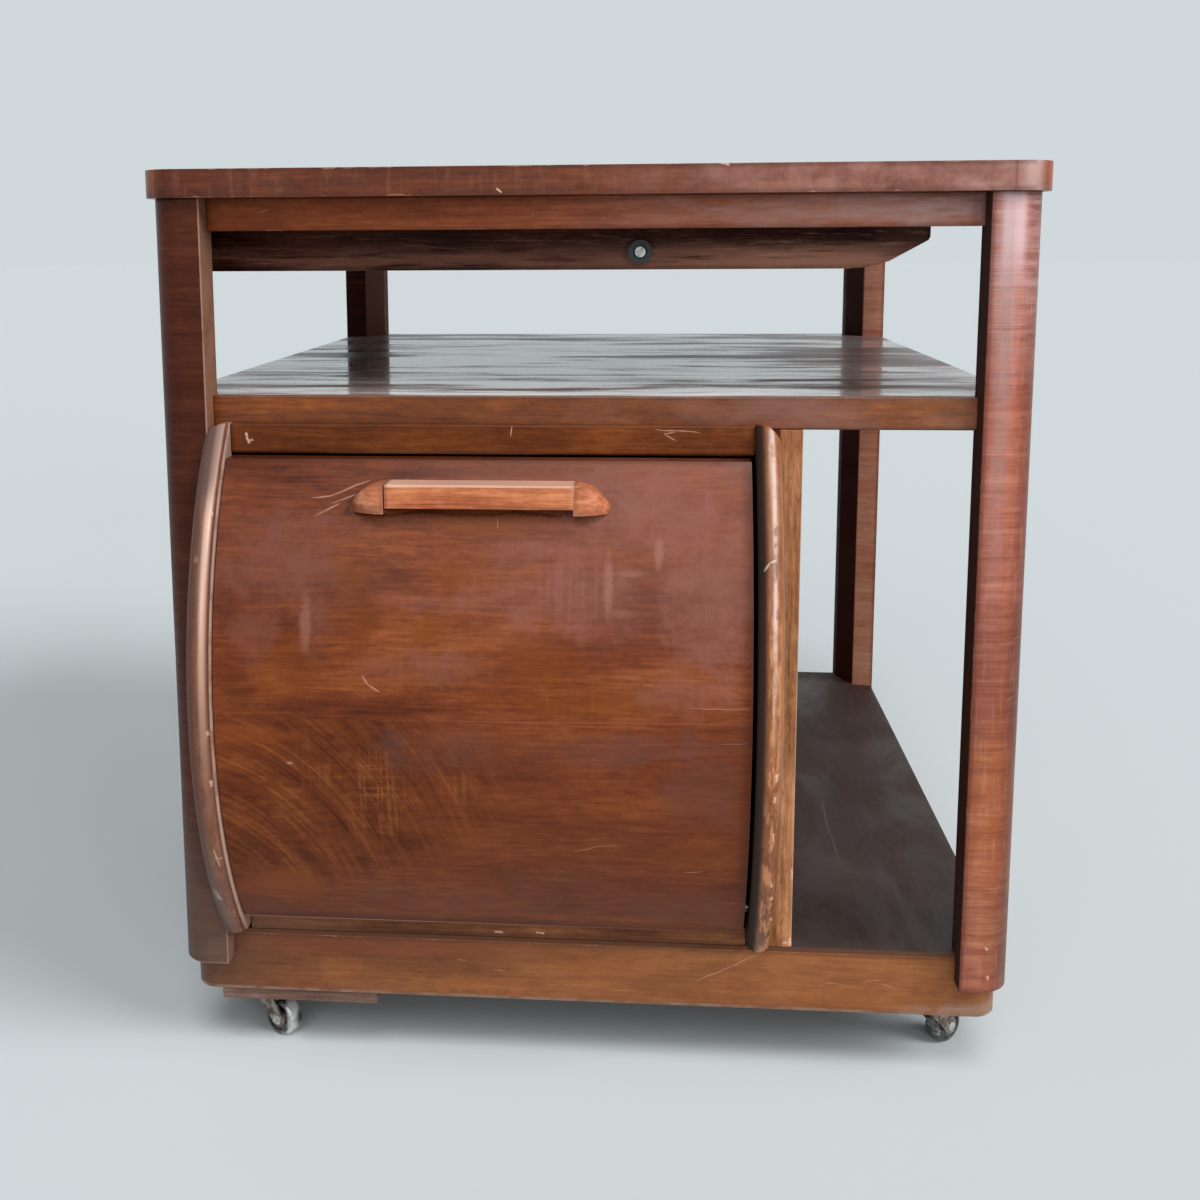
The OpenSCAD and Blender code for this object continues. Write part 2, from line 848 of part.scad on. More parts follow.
module castor_plate(right, rear) {
    color("#6f6c67")
        at_castor(right, rear, 0)
            difference() {
                union() {
                    box(-plate_w / 2, plate_w / 2, -plate_w / 2, plate_w / 2,
                        block_z - plate_t, block_z);
                    translate([0, 0, block_z - plate_t - boss_t])
                        cylinder(h = boss_t + plate_t, r = boss_r);
                }
                translate([0, 0, block_z - plate_t - boss_t - eps])
                    cylinder(h = plate_t + boss_t + 2 * eps, r = king_r + fit_gap);
                for (u = [-1, 1])
                    for (v = [-1, 1])
                        translate([u * (plate_w / 2 - plate_screw_in),
                            v * (plate_w / 2 - plate_screw_in), block_z - plate_t - eps])
                            cylinder(h = plate_t + 2 * eps, r = plate_screw_r);
            }
}

// Swivel fork with a crown, two arms and a king pin.
module fork(right, rear, turn) {
    color("#8b8780")
        at_castor(right, rear, turn)
            difference() {
                union() {
                    translate([0, 0, crown_z1 - crown_t])
                        cylinder(h = crown_t, r = crown_r);
                    king_pin();
                    for (side = [-1, 1])
                        fork_arm(side);
                }
                rod_y(-arm_y - arm_t - eps, arm_y + arm_t + eps, trail, wheel_r,
                    axle_r + fit_gap);
            }
}

module king_pin() {
    translate([0, 0, crown_z1 - crown_t])
        cylinder(h = block_z - swivel_gap - crown_z1 + crown_t, r = king_r);
}

module fork_arm(side) {
    y0 = side > 0 ? arm_y : -arm_y - arm_t;
    translate([0, y0 + arm_t, 0])
        rotate([90, 0, 0])
            linear_extrude(height = arm_t)
                polygon([
                    [-arm_top_half, crown_z1 - crown_t + eps],
                    [arm_top_half, crown_z1 - crown_t + eps],
                    [trail + arm_end_r - 0.6, wheel_r + 2], [trail - arm_end_r + 0.6, wheel_r - 2]
                ]);
    rod_y(y0, y0 + arm_t, trail, wheel_r, arm_end_r);
}

module axle(right, rear, turn) {
    reach = arm_y + arm_t;
    color("#b5b1a8")
        at_castor(right, rear, turn) {
            rod_y(-reach, reach, trail, wheel_r, axle_r);
            rod_y(-reach - axle_head_t, -reach, trail, wheel_r, axle_head_r);
            rod_y(reach, reach + axle_head_t, trail, wheel_r, axle_head_r);
        }
}

// Wheel turned from one profile: hub, web and a tread with eased edges.
module wheel(right, rear, turn) {
    h = wheel_w / 2;
    color("#1d1b1a")
        at_castor(right, rear, turn)
            translate([trail, 0, wheel_r])
                rotate([90, 0, 0])
                    rotate_extrude()
                        polygon([
                            [axle_r + fit_gap, -h], [5.5, -h], [5.5, -h + 1.6],
                            [wheel_r - 3.4, -h + 1.6], [wheel_r - 2.8, -h],
                            [wheel_r - 1, -h], [wheel_r, -h + 1],
                            [wheel_r, h - 1], [wheel_r - 1, h], [wheel_r - 2.8, h],
                            [wheel_r - 3.4, h - 1.6], [5.5, h - 1.6], [5.5, h],
                            [axle_r + fit_gap, h]
                        ]);
}

top_board();
end_rail(false);  // rail_front
end_rail(true);  // rail_rear
side_rail(false);  // rail_left
side_rail(true);  // rail_right
post(false, false);  // post_front_left
post(true, false);  // post_front_right
post(false, true);  // post_rear_left
post(true, true);  // post_rear_right
middle_shelf();
floor_board();
partition();
compartment_side();
compartment_back();
door_guide();
header_strip();
sill_strip();
moulding(comp_x0 - moulding_w, false);  // moulding_left
moulding(comp_x1, true);  // moulding_right
plinth_end(false);  // plinth_front
plinth_end(true);  // plinth_rear
plinth_side(false);  // plinth_left
plinth_side(true);  // plinth_right
castor_blocks();
castor_screws();
runner(false);  // runner_front
runner(true);  // runner_rear
pivot_pin_left();
pivot_pin_right();
door_panel();
box_cheek(door_x0 + cheek_side_gap);  // box_cheek_left
box_cheek(door_x1 - cheek_side_gap - cheek_t);  // box_cheek_right
box_floor();
box_back();
handle_grip();
handle_end(true);  // handle_end_left
handle_end(false);  // handle_end_right
tray_side(false);  // tray_side_front
tray_side(true);  // tray_side_rear
tray_front();
tray_back();
tray_bottom();
buffer_ring();
buffer_screw();
castor_plate(false, false);  // castor_plate_front_left
castor_plate(true, false);  // castor_plate_front_right
castor_plate(false, true);  // castor_plate_rear_left
castor_plate(true, true);  // castor_plate_rear_right
fork(false, false, turn_fl);  // fork_front_left
fork(true, false, turn_fr);  // fork_front_right
fork(false, true, turn_rl);  // fork_rear_left
fork(true, true, turn_rr);  // fork_rear_right
axle(false, false, turn_fl);  // axle_front_left
axle(true, false, turn_fr);  // axle_front_right
axle(false, true, turn_rl);  // axle_rear_left
axle(true, true, turn_rr);  // axle_rear_right
wheel(false, false, turn_fl);  // wheel_front_left
wheel(true, false, turn_fr);  // wheel_front_right
wheel(false, true, turn_rl);  // wheel_rear_left
wheel(true, true, turn_rr);  // wheel_rear_right
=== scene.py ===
import math

import bpy
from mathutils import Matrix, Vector


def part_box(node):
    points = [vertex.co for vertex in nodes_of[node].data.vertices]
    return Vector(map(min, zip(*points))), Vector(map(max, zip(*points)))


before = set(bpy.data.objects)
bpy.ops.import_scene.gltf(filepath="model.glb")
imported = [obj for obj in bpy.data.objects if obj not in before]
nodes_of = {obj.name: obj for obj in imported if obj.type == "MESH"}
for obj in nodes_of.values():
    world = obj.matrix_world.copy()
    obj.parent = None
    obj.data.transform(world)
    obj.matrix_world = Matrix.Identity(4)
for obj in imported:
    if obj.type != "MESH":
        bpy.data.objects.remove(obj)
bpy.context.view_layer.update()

# Camera of the photograph, in metres.
IMAGE_SIZE = 1200
FOCAL_PIXELS = 1422.37
PRINCIPAL_X = 524.68
PRINCIPAL_Y = 460.77
SENSOR = 36.0
CAMERA_PLACE = (0.04287, -1.309426, 0.61940)
CAMERA_TURN = (1.418594, 0.006121, 0.086257)

# Linear colours with their alpha.
BACKGROUND = (0.631, 0.687, 0.708, 1)
WORN = (0.42, 0.21, 0.13, 1)
BARE = (0.62, 0.4, 0.28, 1)
SCRATCH = (0.45, 0.22, 0.13, 1)
HAZE = (0.23, 0.105, 0.085, 1)

COAT_ROUGHNESS = 0.1
BUMP_DEPTH = 0.0003
FINE_BUMP_DEPTH = 0.0002
# Width of the wear on an edge where it is least, in metres.
LEAST_WEAR = 0.00025
# Points closer than this are joined before an edge is rounded.
WELD_REACH = 0.00002
# Edges sharper than this are rounded, in degrees.
BEVEL_ANGLE = 35
# Places on the cart, in metres from its middle or from the ground.
POST_SLANT_X = 0.284
BOARD_SEAM_Z = 0.2986


def colour(r, g, b):
    return (r, g, b, 1)


class Nodes:
    """Builds a node tree with short calls."""

    def __init__(self, owner):
        owner.use_nodes = True
        self.tree = owner.node_tree
        self.tree.nodes.clear()

    def add(self, kind, values=(), **settings):
        """A new node with its settings, and its inputs filled in turn or by name."""
        node = self.tree.nodes.new(kind)
        for setting, value in settings.items():
            setattr(node, setting, value)
        filled = values.items() if isinstance(values, dict) else enumerate(values)
        for key, value in filled:
            if isinstance(value, bpy.types.NodeSocket):
                self.tree.links.new(value, node.inputs[key])
            elif value is not None:
                node.inputs[key].default_value = value
        return node

    def maths(self, operation, a, b=None, c=None, clamp=False):
        node = self.add("ShaderNodeMath", (a, b, c), operation=operation, use_clamp=clamp)
        return node.outputs[0]

    def times(self, *values):
        result = values[0]
        for value in values[1:]:
            result = self.maths("MULTIPLY", result, value)
        return result

    def plus(self, a, b):
        return self.maths("ADD", a, b)

    def most(self, *values):
        result = values[0]
        for value in values[1:]:
            result = self.maths("MAXIMUM", result, value)
        return result


class Shader(Nodes):
    """A material in the object's own coordinates."""

    def __init__(self, name):
        self.material = bpy.data.materials.new(name)
        super().__init__(self.material)
        self.place = self.add("ShaderNodeTexCoord").outputs["Object"]
        self.x, self.y, self.z = self.add("ShaderNodeSeparateXYZ", [self.place]).outputs
        drift = self.noise(self.scaled((35, 35, 35)), detail=1)
        self.drift = self.times(self.plus(drift, -0.5), 0.006)

    def step(self, value, low, high, a=0.0, b=1.0):
        """A smooth step from a to b as value goes from low to high."""
        node = self.add("ShaderNodeMapRange", (value, low, high, a, b),
                        interpolation_type="SMOOTHSTEP")
        return node.outputs[0]

    def between(self, value, low, high, soft):
        """1 between low and high, with soft ends."""
        rise = self.step(value, low - soft, low + soft)
        fall = self.step(value, high - soft, high + soft, 1.0, 0.0)
        return self.times(rise, fall)

    def joined(self, x, y, z):
        return self.add("ShaderNodeCombineXYZ", (x, y, z)).outputs[0]

    def scaled(self, scale, shift=(0, 0, 0)):
        node = self.add("ShaderNodeMapping",
                        {"Vector": self.place, "Scale": scale, "Location": shift})
        return node.outputs[0]

    def noise(self, vector, detail=3.0, rough=0.55, warp=0.0):
        node = self.add("ShaderNodeTexNoise", {
            "Vector": vector, "Scale": 1.0, "Detail": detail, "Roughness": rough,
            "Distortion": warp})
        return node.outputs[0]

    def mix(self, a, b, share, kind="MIX"):
        # The node's colour sockets are its inputs 6 and 7 and its output 2.
        node = self.add("ShaderNodeMix", {0: share, 6: a, 7: b}, data_type="RGBA",
                        blend_type=kind)
        return node.outputs[2]

    def blended(self, a, b, share):
        """A number that goes from a to b with share."""
        return self.plus(self.times(a, self.maths("SUBTRACT", 1.0, share)), self.times(b, share))

    def ramp(self, value, stops):
        node = self.add("ShaderNodeValToRGB", [value])
        elements = node.color_ramp.elements
        while len(elements) < len(stops):
            elements.new(0.5)
        for element, (position, shade) in zip(elements, stops):
            element.position = position
            element.color = shade
        return node.outputs[0]

    def stroke(self, start, end, width, wobble=None):
        """A tapered, slightly bent line from start to end in the X-Z plane."""
        dx, dz = end[0] - start[0], end[1] - start[1]
        length2 = dx * dx + dz * dz
        from_x = self.plus(self.x, -start[0])
        from_z = self.plus(self.plus(self.z, self.drift), -start[1])
        along = self.plus(self.times(from_x, dx / length2), self.times(from_z, dz / length2))
        along = self.maths("MULTIPLY", along, 1.0, clamp=True)
        off_x = self.maths("SUBTRACT", from_x, self.times(along, dx))
        off_z = self.maths("SUBTRACT", from_z, self.times(along, dz))
        far = self.maths("SQRT", self.plus(self.times(off_x, off_x), self.times(off_z, off_z)))
        if wobble is None:
            middle = self.times(along, self.maths("SUBTRACT", 1.0, along))
            far = self.maths("DIVIDE", far, self.plus(self.times(middle, 3.2), 0.2))
        else:
            far = self.plus(far, self.times(self.plus(wobble, -0.5), width * 2.6))
        return self.step(far, width * 0.15, width, 1.0, 0.0)

    def strokes(self, lines, wobble=None):
        """Several lines (x0, z0, x1, z1, width) in millimetres, joined."""
        parts = []
        for x0, z0, x1, z1, width in lines:
            start = (x0 / 1000, z0 / 1000)
            end = (x1 / 1000, z1 / 1000)
            parts.append(self.stroke(start, end, width / 1000, wobble))
        return self.most(*parts)

    def blob(self, centre, reach, edge, ragged):
        """An oval in the X-Z plane, in millimetres, 1 in its middle."""
        off_x = self.times(self.plus(self.x, -centre[0] / 1000), 1000 / reach[0])
        off_z = self.times(self.plus(self.z, -centre[1] / 1000), 1000 / reach[1])
        far = self.maths("SQRT", self.plus(self.times(off_x, off_x), self.times(off_z, off_z)))
        far = self.plus(far, self.times(self.plus(edge, -0.5), ragged))
        return self.step(far, 0.35, 1.1, 1.0, 0.0)

    def blobs(self, ovals, edge, ragged=2.5):
        parts = []
        for x, z, wide, high, strength in ovals:
            parts.append(self.times(self.blob((x, z), (wide, high), edge, ragged), strength))
        return self.most(*parts)

    def edge_distance(self, low, high):
        """How far a point on a board with these corners lies from its nearest edge."""
        sides = []
        for value, a, b in zip((self.x, self.y, self.z), low, high):
            sides.append(self.maths("MINIMUM", self.plus(value, -a),
                                    self.maths("SUBTRACT", b, value)))
        near = self.maths("MINIMUM", sides[0], sides[1])
        far = self.maths("MAXIMUM", sides[0], sides[1])
        return self.maths("MAXIMUM", near, self.maths("MINIMUM", far, sides[2]))

    def bump(self, height, strength, distance):
        node = self.add("ShaderNodeBump",
                        {"Strength": strength, "Distance": distance, "Height": height})
        return node.outputs[0]

    def finish(self, shade, roughness, normal=None, metallic=0.0, specular=0.5, coat=0.0):
        surface = self.add("ShaderNodeBsdfPrincipled", {
            "Base Color": shade, "Roughness": roughness, "Metallic": metallic, "Normal": normal,
            "Specular IOR Level": specular, "Coat Weight": coat,
            "Coat Roughness": COAT_ROUGHNESS})
        self.add("ShaderNodeOutputMaterial", [surface.outputs[0]])
        return self.material


def stretched(grain, along, across):
    """A scale for each axis, smaller along the grain."""
    return tuple(along if axis in grain else across for axis in "xyz")


def darker(shade, share):
    return colour(*[value * share for value in shade[:3]])


class Wood(Shader):
    """Polished veneer: bands, fibres, pores, greyish clouds that are partly painted reflection,
    worn edges and marks.
    """

    def __init__(self, name, grain, tones, seed=0.0, rough=(0.3, 0.44), **figure):
        super().__init__(name)
        self.grain = grain
        self.tones = tones
        self.clouds = self.noise(self.scaled(stretched(grain, 7, 16), (seed, seed, seed)), detail=5,
                                 rough=0.62, warp=0.5)
        self.patches = self.noise(self.scaled((45, 45, 45), (seed, 0, seed)), detail=4, rough=0.7)
        self.fine = self.noise(self.scaled((650, 650, 650)), detail=2)
        self.shade, self.height = self.figure(tones, seed, **figure)
        self.rough = self.step(self.clouds, 0.35, 0.65, *rough)

    def figure(self, tones, seed, bend=0.006, bands=34.0, reach=0.13, flecks=0.4, centre=None):
        """Colour and relief of one leaf of veneer, straight or in arcs about a centre."""
        dark, middle, light = tones
        sway = self.noise(self.scaled(stretched(self.grain, 4, 9), (seed, 0, seed)), detail=2)
        sway = self.times(self.plus(sway, -0.5), bend)
        if centre is None:
            parts = [(value, axis in self.grain)
                     for value, axis in zip((self.x, self.y, self.z), "xyz")]
        else:
            off_x = self.plus(self.x, -centre[0])
            off_z = self.times(self.plus(self.z, -centre[1]), centre[2])
            radius = self.maths("SQRT", self.plus(self.times(off_x, off_x),
                                                  self.times(off_z, off_z)))
            angle = self.times(self.maths("ARCTAN2", off_z, off_x), 0.12)
            parts = [(angle, True), (self.y, True), (radius, False)]

        def strands(along, across, detail, rough):
            places = []
            for value, with_grain in parts:
                if with_grain:
                    places.append(self.plus(self.times(value, along), seed))
                else:
                    places.append(self.times(self.plus(value, sway), across))
            return self.noise(self.joined(*places), detail=detail, rough=rough)

        broad = strands(5, bands, 4, 0.6)
        fibres = strands(22, 420, 3, 0.6)
        pores = strands(150, 1100, 1, 0.5)
        mottle = self.noise(self.scaled(stretched(self.grain, 80, 210), (seed, seed, 0)),
                            rough=0.65)
        tone = self.plus(self.times(broad, 0.3), self.times(fibres, 0.28))
        tone = self.plus(tone, self.times(self.clouds, 0.34))
        tone = self.plus(tone, self.times(mottle, 0.2))
        shade = self.ramp(tone, [(0.56 - reach, dark), (0.56, middle), (0.56 + reach, light)])
        holes = self.times(self.step(pores, 0.25, 0.4, 1.0, 0.0), flecks)
        shade = self.mix(shade, darker(dark, 0.8), holes)
        height = self.plus(self.times(fibres, 0.6), self.times(holes, -0.9))
        return shade, height

    def grade(self, value, stops, amount=1.0):
        """Multiplies the colour by shades set along a board; mostly painted light and shade, darker
        where less light falls.
        """
        low, high = stops[0][0], stops[-1][0]
        share = self.maths("MULTIPLY_ADD", value, 1 / (high - low), -low / (high - low))
        tint = self.ramp(share, [((place - low) / (high - low), colour(*shade))
                                 for place, shade in stops])
        self.shade = self.mix(self.shade, tint, amount, "MULTIPLY")

    def wiped(self, strength, scale, shade, low=0.5, high=0.68, zone=None):
        """Faint streaks left across the grain by wiping."""
        streaks = self.noise(self.scaled(scale, (0.7, 1.9, 0.3)), detail=3, rough=0.6, warp=0.25)
        share = self.times(self.step(streaks, low, high), self.step(self.patches, 0.35, 0.6),
                           strength)
        if zone is not None:
            share = self.times(share, zone)
        self.tint(share, shade, rough=0.1)

    def leaf(self, share, tones, seed, **more):
        """A second leaf of veneer where share is 1."""
        shade, height = self.figure(tones, seed, **more)
        self.shade = self.mix(self.shade, shade, share)
        self.height = self.blended(self.height, height, share)

    def tint(self, share, shade, rough=0.0, depth=0.0):
        """Lays a colour over the wood where share is more than 0."""
        self.shade = self.mix(self.shade, shade, share)
        if rough:
            self.rough = self.plus(self.rough, self.times(share, rough))
        if depth:
            self.height = self.plus(self.height, self.times(share, depth))

    def haze(self, low, high, strength, scale, shade=HAZE, zone=None):
        """Greyish clouds over the wood: partly cloudy finish, partly painted reflection of the pale
        surroundings.
        """
        smear = self.noise(self.scaled(scale, (2.1, 0.4, 3.3)), detail=5, rough=0.65, warp=0.3)
        share = self.times(self.step(smear, low, high), strength)
        if zone is not None:
            share = self.times(share, zone)
        self.tint(share, shade, rough=0.22)

    def wear(self, node, width, shade=WORN, strength=0.5):
        """A darker band near the edges of a node, partly grime and partly painted shade where parts
        meet, then pale wear at the very edges, broken up by patches.
        """
        distance = self.edge_distance(*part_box(node))
        # Darker band near the edges: partly grime, partly painted shade.
        grime_and_shade = self.times(self.step(distance, 0.0008, 0.0045, 1.0, 0.0),
                          self.step(self.patches, 0.3, 0.6, 0.5, 1.0))
        self.tint(self.times(grime_and_shade, 0.5), darker(self.tones[0], 0.7))
        reach = self.plus(self.times(self.step(self.patches, 0.5, 0.72), width), LEAST_WEAR)
        share = self.maths("SUBTRACT", 1.0, self.maths("DIVIDE", distance, reach), clamp=True)
        self.tint(self.times(self.step(share, 0.05, 0.6), strength), shade, rough=0.2, depth=-0.6)

    def chips(self, lines, shade=BARE, strength=0.85, zone=1.0):
        self.tint(self.times(self.strokes(lines, self.fine), strength, zone), shade, rough=0.2,
                  depth=-1.2)

    def scratches(self, lines, shade=SCRATCH, strength=0.6, zone=1.0):
        share = self.times(self.strokes(lines), self.step(self.patches, 0.3, 0.55, 0.35, 1.0))
        self.tint(self.times(share, strength, zone), shade, rough=0.2, depth=-0.8)

    def done(self, strength=0.3, specular=0.14):
        normal = self.bump(self.height, strength, BUMP_DEPTH)
        return self.finish(self.shade, self.rough, normal, specular=specular)


def dress(names, material):
    """Gives CAD nodes their material."""
    for name in names:
        mesh = nodes_of[name].data
        mesh.materials.clear()
        mesh.materials.append(material)


def soften(names, width, segments=3):
    """Rounds the edges of CAD nodes a little."""
    for name in names:
        piece = nodes_of[name]
        weld = piece.modifiers.new("weld", "WELD")
        weld.merge_threshold = WELD_REACH
        bevel = piece.modifiers.new("bevel", "BEVEL")
        bevel.width = width
        bevel.segments = segments
        bevel.limit_method = "ANGLE"
        bevel.angle_limit = math.radians(BEVEL_ANGLE)
        bevel.harden_normals = True


RED_BROWN = (colour(0.07, 0.014, 0.006), colour(0.17, 0.04, 0.014), colour(0.3, 0.085, 0.028))
FADED = (colour(0.12, 0.026, 0.011), colour(0.27, 0.067, 0.025), colour(0.44, 0.135, 0.05))
GOLDEN = (colour(0.085, 0.024, 0.008), colour(0.19, 0.06, 0.018), colour(0.33, 0.12, 0.036))
AMBER = (colour(0.12, 0.036, 0.012), colour(0.245, 0.083, 0.027), colour(0.38, 0.145, 0.046))
CROSS = (colour(0.1, 0.018, 0.009), colour(0.2, 0.045, 0.02), colour(0.32, 0.09, 0.04))
# Near-black wood, used as painted shade for parts that stand in shadow.
DIM = (colour(0.01, 0.0022, 0.001), colour(0.03, 0.006, 0.003), colour(0.08, 0.02, 0.009))
STAINED = (colour(0.016, 0.007, 0.0055), colour(0.034, 0.0165, 0.0135), colour(0.064, 0.036, 0.03))
ORANGE = (colour(0.26, 0.05, 0.014), colour(0.52, 0.16, 0.06), colour(0.72, 0.3, 0.14))
HONEY = (colour(0.13, 0.038, 0.013), colour(0.35, 0.145, 0.06), colour(0.56, 0.27, 0.125))
BROWN = (colour(0.055, 0.015, 0.006), colour(0.14, 0.045, 0.018), colour(0.26, 0.1, 0.042))
PALE = (colour(0.34, 0.11, 0.068), colour(0.54, 0.23, 0.155), colour(0.68, 0.35, 0.26))
PINK = (colour(0.2, 0.05, 0.028), colour(0.36, 0.115, 0.07), colour(0.52, 0.22, 0.15))
END_GRAIN = (colour(0.26, 0.055, 0.018), colour(0.5, 0.16, 0.07), colour(0.7, 0.3, 0.17))
ARCED = (colour(0.06, 0.012, 0.004), colour(0.16, 0.037, 0.011), colour(0.3, 0.095, 0.026))
GREYED = (colour(0.07, 0.037, 0.027), colour(0.14, 0.08, 0.06), colour(0.24, 0.16, 0.13))


def top_material():
    """The front edge has painted shade to the left and painted reflection and highlights to the
    right; the upper face is even.
    """
    wood = Wood("top_wood", "x", RED_BROWN, seed=1.3, bands=30, rough=(0.26, 0.4))
    front = wood.step(wood.y, -0.331, -0.3355)
    # Painted shade and light: the front edge darkens towards the left, away from the light.
    wood.grade(wood.x, [(-0.31, (0.52, 0.4, 0.25)), (0.0, (0.66, 0.6, 0.5)),
                        (0.31, (1.0, 1.0, 1.0))], front)
    # Painted reflection: a pale pinkish sheen towards the right of the front edge.
    wood.haze(0.25, 0.8, 1.0, (26, 9, 34), colour(0.42, 0.21, 0.18),
              wood.times(wood.step(wood.x, -0.04, 0.25, 0.05, 1.0), front))
    wood.haze(0.4, 0.75, 0.25, (12, 7, 12), darker(HAZE, 0.8), wood.maths("SUBTRACT", 1.0, front))
    wood.wiped(0.2, (160, 150, 30), darker(wood.tones[0], 0.8), 0.5, 0.66)
    wood.wiped(0.14, (230, 200, 30), colour(0.36, 0.15, 0.09))
    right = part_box("top_board")[1].x
    # Painted shade: a dark line where the rounded corner starts to turn.
    bend = wood.between(wood.x, right - 0.0305, right - 0.0285, 0.0008)
    wood.tint(wood.times(bend, front, 0.35), colour(0.07, 0.02, 0.012))
    # Painted highlight on the rounded corner.
    corner = wood.between(wood.x, right - 0.024, right - 0.011, 0.005)
    wood.tint(wood.times(corner, wood.step(wood.y, -0.3, -0.33), 0.45), colour(0.66, 0.46, 0.42))
    end = wood.times(wood.step(wood.x, right - 0.009, right - 0.003),
                     wood.step(wood.y, -0.28, -0.31, 0.3, 1.0))
    wood.tint(wood.times(end, 0.6), colour(0.42, 0.1, 0.045))
    wood.wear("top_board", 0.0018, strength=0.45)
    wood.chips([(90, 671, 95, 670, 1.3), (-60, 655, -57, 653, 0.7), (150, 652, 152, 653, 0.7)],
               zone=front)
    return wood.done(specular=0.25)


def rail_material(name, grain, seed):
    wood = Wood(name + "_wood", grain, FADED if name == "rail_front" else RED_BROWN, seed=seed,
                bands=40, reach=0.16)
    if name == "rail_front":
        # Painted shade and light: the front rail darkens towards the left.
        wood.grade(wood.x, [(-0.27, (0.72, 0.62, 0.3)), (0.0, (1.0, 1.0, 1.0)),
                            (0.27, (1.0, 1.0, 1.0))])
        # Painted reflection: a pale sheen towards the right.
        wood.haze(0.22, 0.8, 1.0, (20, 9, 120), colour(0.44, 0.27, 0.25),
                  wood.step(wood.x, -0.06, 0.24, 0.0, 1.0))
        wood.scratches([(-231, 641, -224, 643.5, 0.5), (20, 645, 27, 642, 0.4),
                        (70, 634, 84, 632, 0.4), (-38, 640, -37, 637, 0.5)])
    wood.wear(name, 0.0012, strength=0.5)
    return wood.done()


def shelf_material():
    """Golden edges under a top painted with light and dark streaks of reflection, browner at both
    ends.
    """
    wood = Wood("shelf_wood", "x", GOLDEN, seed=7.7, bands=40)
    wood.grade(wood.x, [(-0.28, (0.88, 0.62, 0.15)), (0.28, (1.0, 0.88, 0.6))])
    wood.haze(0.34, 0.7, 0.6, (14, 9, 30), zone=wood.step(wood.x, -0.1, 0.2))
    wood.wear("middle_shelf", 0.0012, strength=0.45)
    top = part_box("middle_shelf")[1].z
    face = wood.step(wood.z, top - 0.00035, top - 0.0001)
    streaks = wood.noise(wood.scaled((5, 30, 1), (4.0, 0.3, 0)), detail=5, rough=0.62, warp=0.3)
    strands = wood.noise(wood.scaled((16, 200, 1), (1.0, 2.3, 0)), detail=3, rough=0.6)
    tone = wood.plus(wood.times(streaks, 0.75), wood.times(strands, 0.25))
    # The painted reflection fades to brown at both ends, at the back and at the front edge.
    ends = wood.most(wood.step(wood.x, -0.15, -0.25, 0.0, 0.8), wood.step(wood.x, 0.1, 0.2))
    ends = wood.most(ends, wood.step(wood.y, 0.1, 0.34, 0.0, 0.8),
                     wood.step(wood.y, -0.306, -0.313))
    tone = wood.plus(tone, wood.times(ends, -0.085))
    # Painted reflection of the pale surroundings on the upper face, in light and dark streaks; the
    # light streaks are also smoother.
    painted_reflection = wood.ramp(tone, [(0.36, colour(0.13, 0.07, 0.06)), (0.48, colour(0.42, 0.345, 0.33)),
                             (0.58, colour(0.8, 0.74, 0.73))])
    wood.tint(face, painted_reflection)
    wood.rough = wood.blended(wood.rough, wood.step(tone, 0.34, 0.52, 0.38, 0.07), face)
    return wood.done(0.12, specular=0.38)


def header_material():
    wood = Wood("header_wood", "x", GOLDEN, seed=3.1, bands=40)
    wood.grade(wood.x, [(-0.25, (0.6, 0.44, 0.24)), (0.12, (0.66, 0.48, 0.32))])
    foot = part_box("header_strip")[0].z
    # Painted highlight along the lower edge, in the middle of the strip.
    low = wood.step(wood.z, foot + 0.0025, foot + 0.0002)
    zone = wood.between(wood.x, -0.18, -0.02, 0.03)
    wood.tint(wood.times(low, zone, 0.5), colour(0.5, 0.26, 0.18))
    wood.wear("header_strip", 0.001, strength=0.45)
    wood.chips([(-243.5, 484, -242, 478.5, 1.5), (-241, 480, -239.5, 480, 1.2)])
    wood.scratches([(-52.4, 492.5, -53.5, 484, 0.7), (47.9, 490.2, 79.1, 489, 0.7),
                    (54.2, 487.4, 62.5, 488.6, 0.6), (54.2, 487.4, 63, 482, 0.7)], BARE, 0.7)
    return wood.done()


def sill_material():
    wood = Wood("sill_wood", "x", GOLDEN, seed=5.1, bands=70)
    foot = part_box("sill_strip")[0].z
    # Painted shade along the bottom of the sill, where it meets the plinth.
    low = wood.step(wood.z, foot + 0.005, foot + 0.0015)
    wood.tint(wood.times(low, 0.55), colour(0.07, 0.025, 0.01))
    wood.tint(wood.times(wood.step(wood.x, -0.14, -0.25), 0.4), colour(0.14, 0.075, 0.05))
    wood.chips([(-69, 108.5, -63, 108.5, 1.0), (-37, 109, -32, 109, 0.9)])
    return wood.done(specular=0.2)


def floor_material():
    wood = Wood("floor_wood", "y", STAINED, seed=9.2, bands=30, reach=0.22, rough=(0.35, 0.6))
    wood.haze(0.42, 0.72, 0.4, (7, 12, 7), colour(0.09, 0.062, 0.057))
    front = wood.times(wood.step(wood.y, -0.297, -0.302), wood.step(wood.x, 0.14, 0.13))
    wood.tint(front, colour(0.085, 0.032, 0.014), rough=0.3)
    lip = wood.step(wood.y, -0.3125, -0.3138)
    wood.tint(wood.times(lip, 0.8), colour(0.11, 0.04, 0.018))
    for low, high, start, tilt in [(-0.16, -0.04, 0.2051, 0.0), (-0.1, -0.02, 0.209, -0.06)]:
        across = wood.plus(wood.x, wood.times(wood.y, tilt))
        line = wood.times(wood.between(across, start, start + 0.0006, 0.0005),
                          wood.between(wood.y, low, high, 0.02))
        wood.tint(wood.times(line, wood.step(wood.patches, 0.35, 0.6, 0.2, 1.0), 0.6),
                  colour(0.2, 0.15, 0.13))
    return wood.done(0.2, specular=0.22)


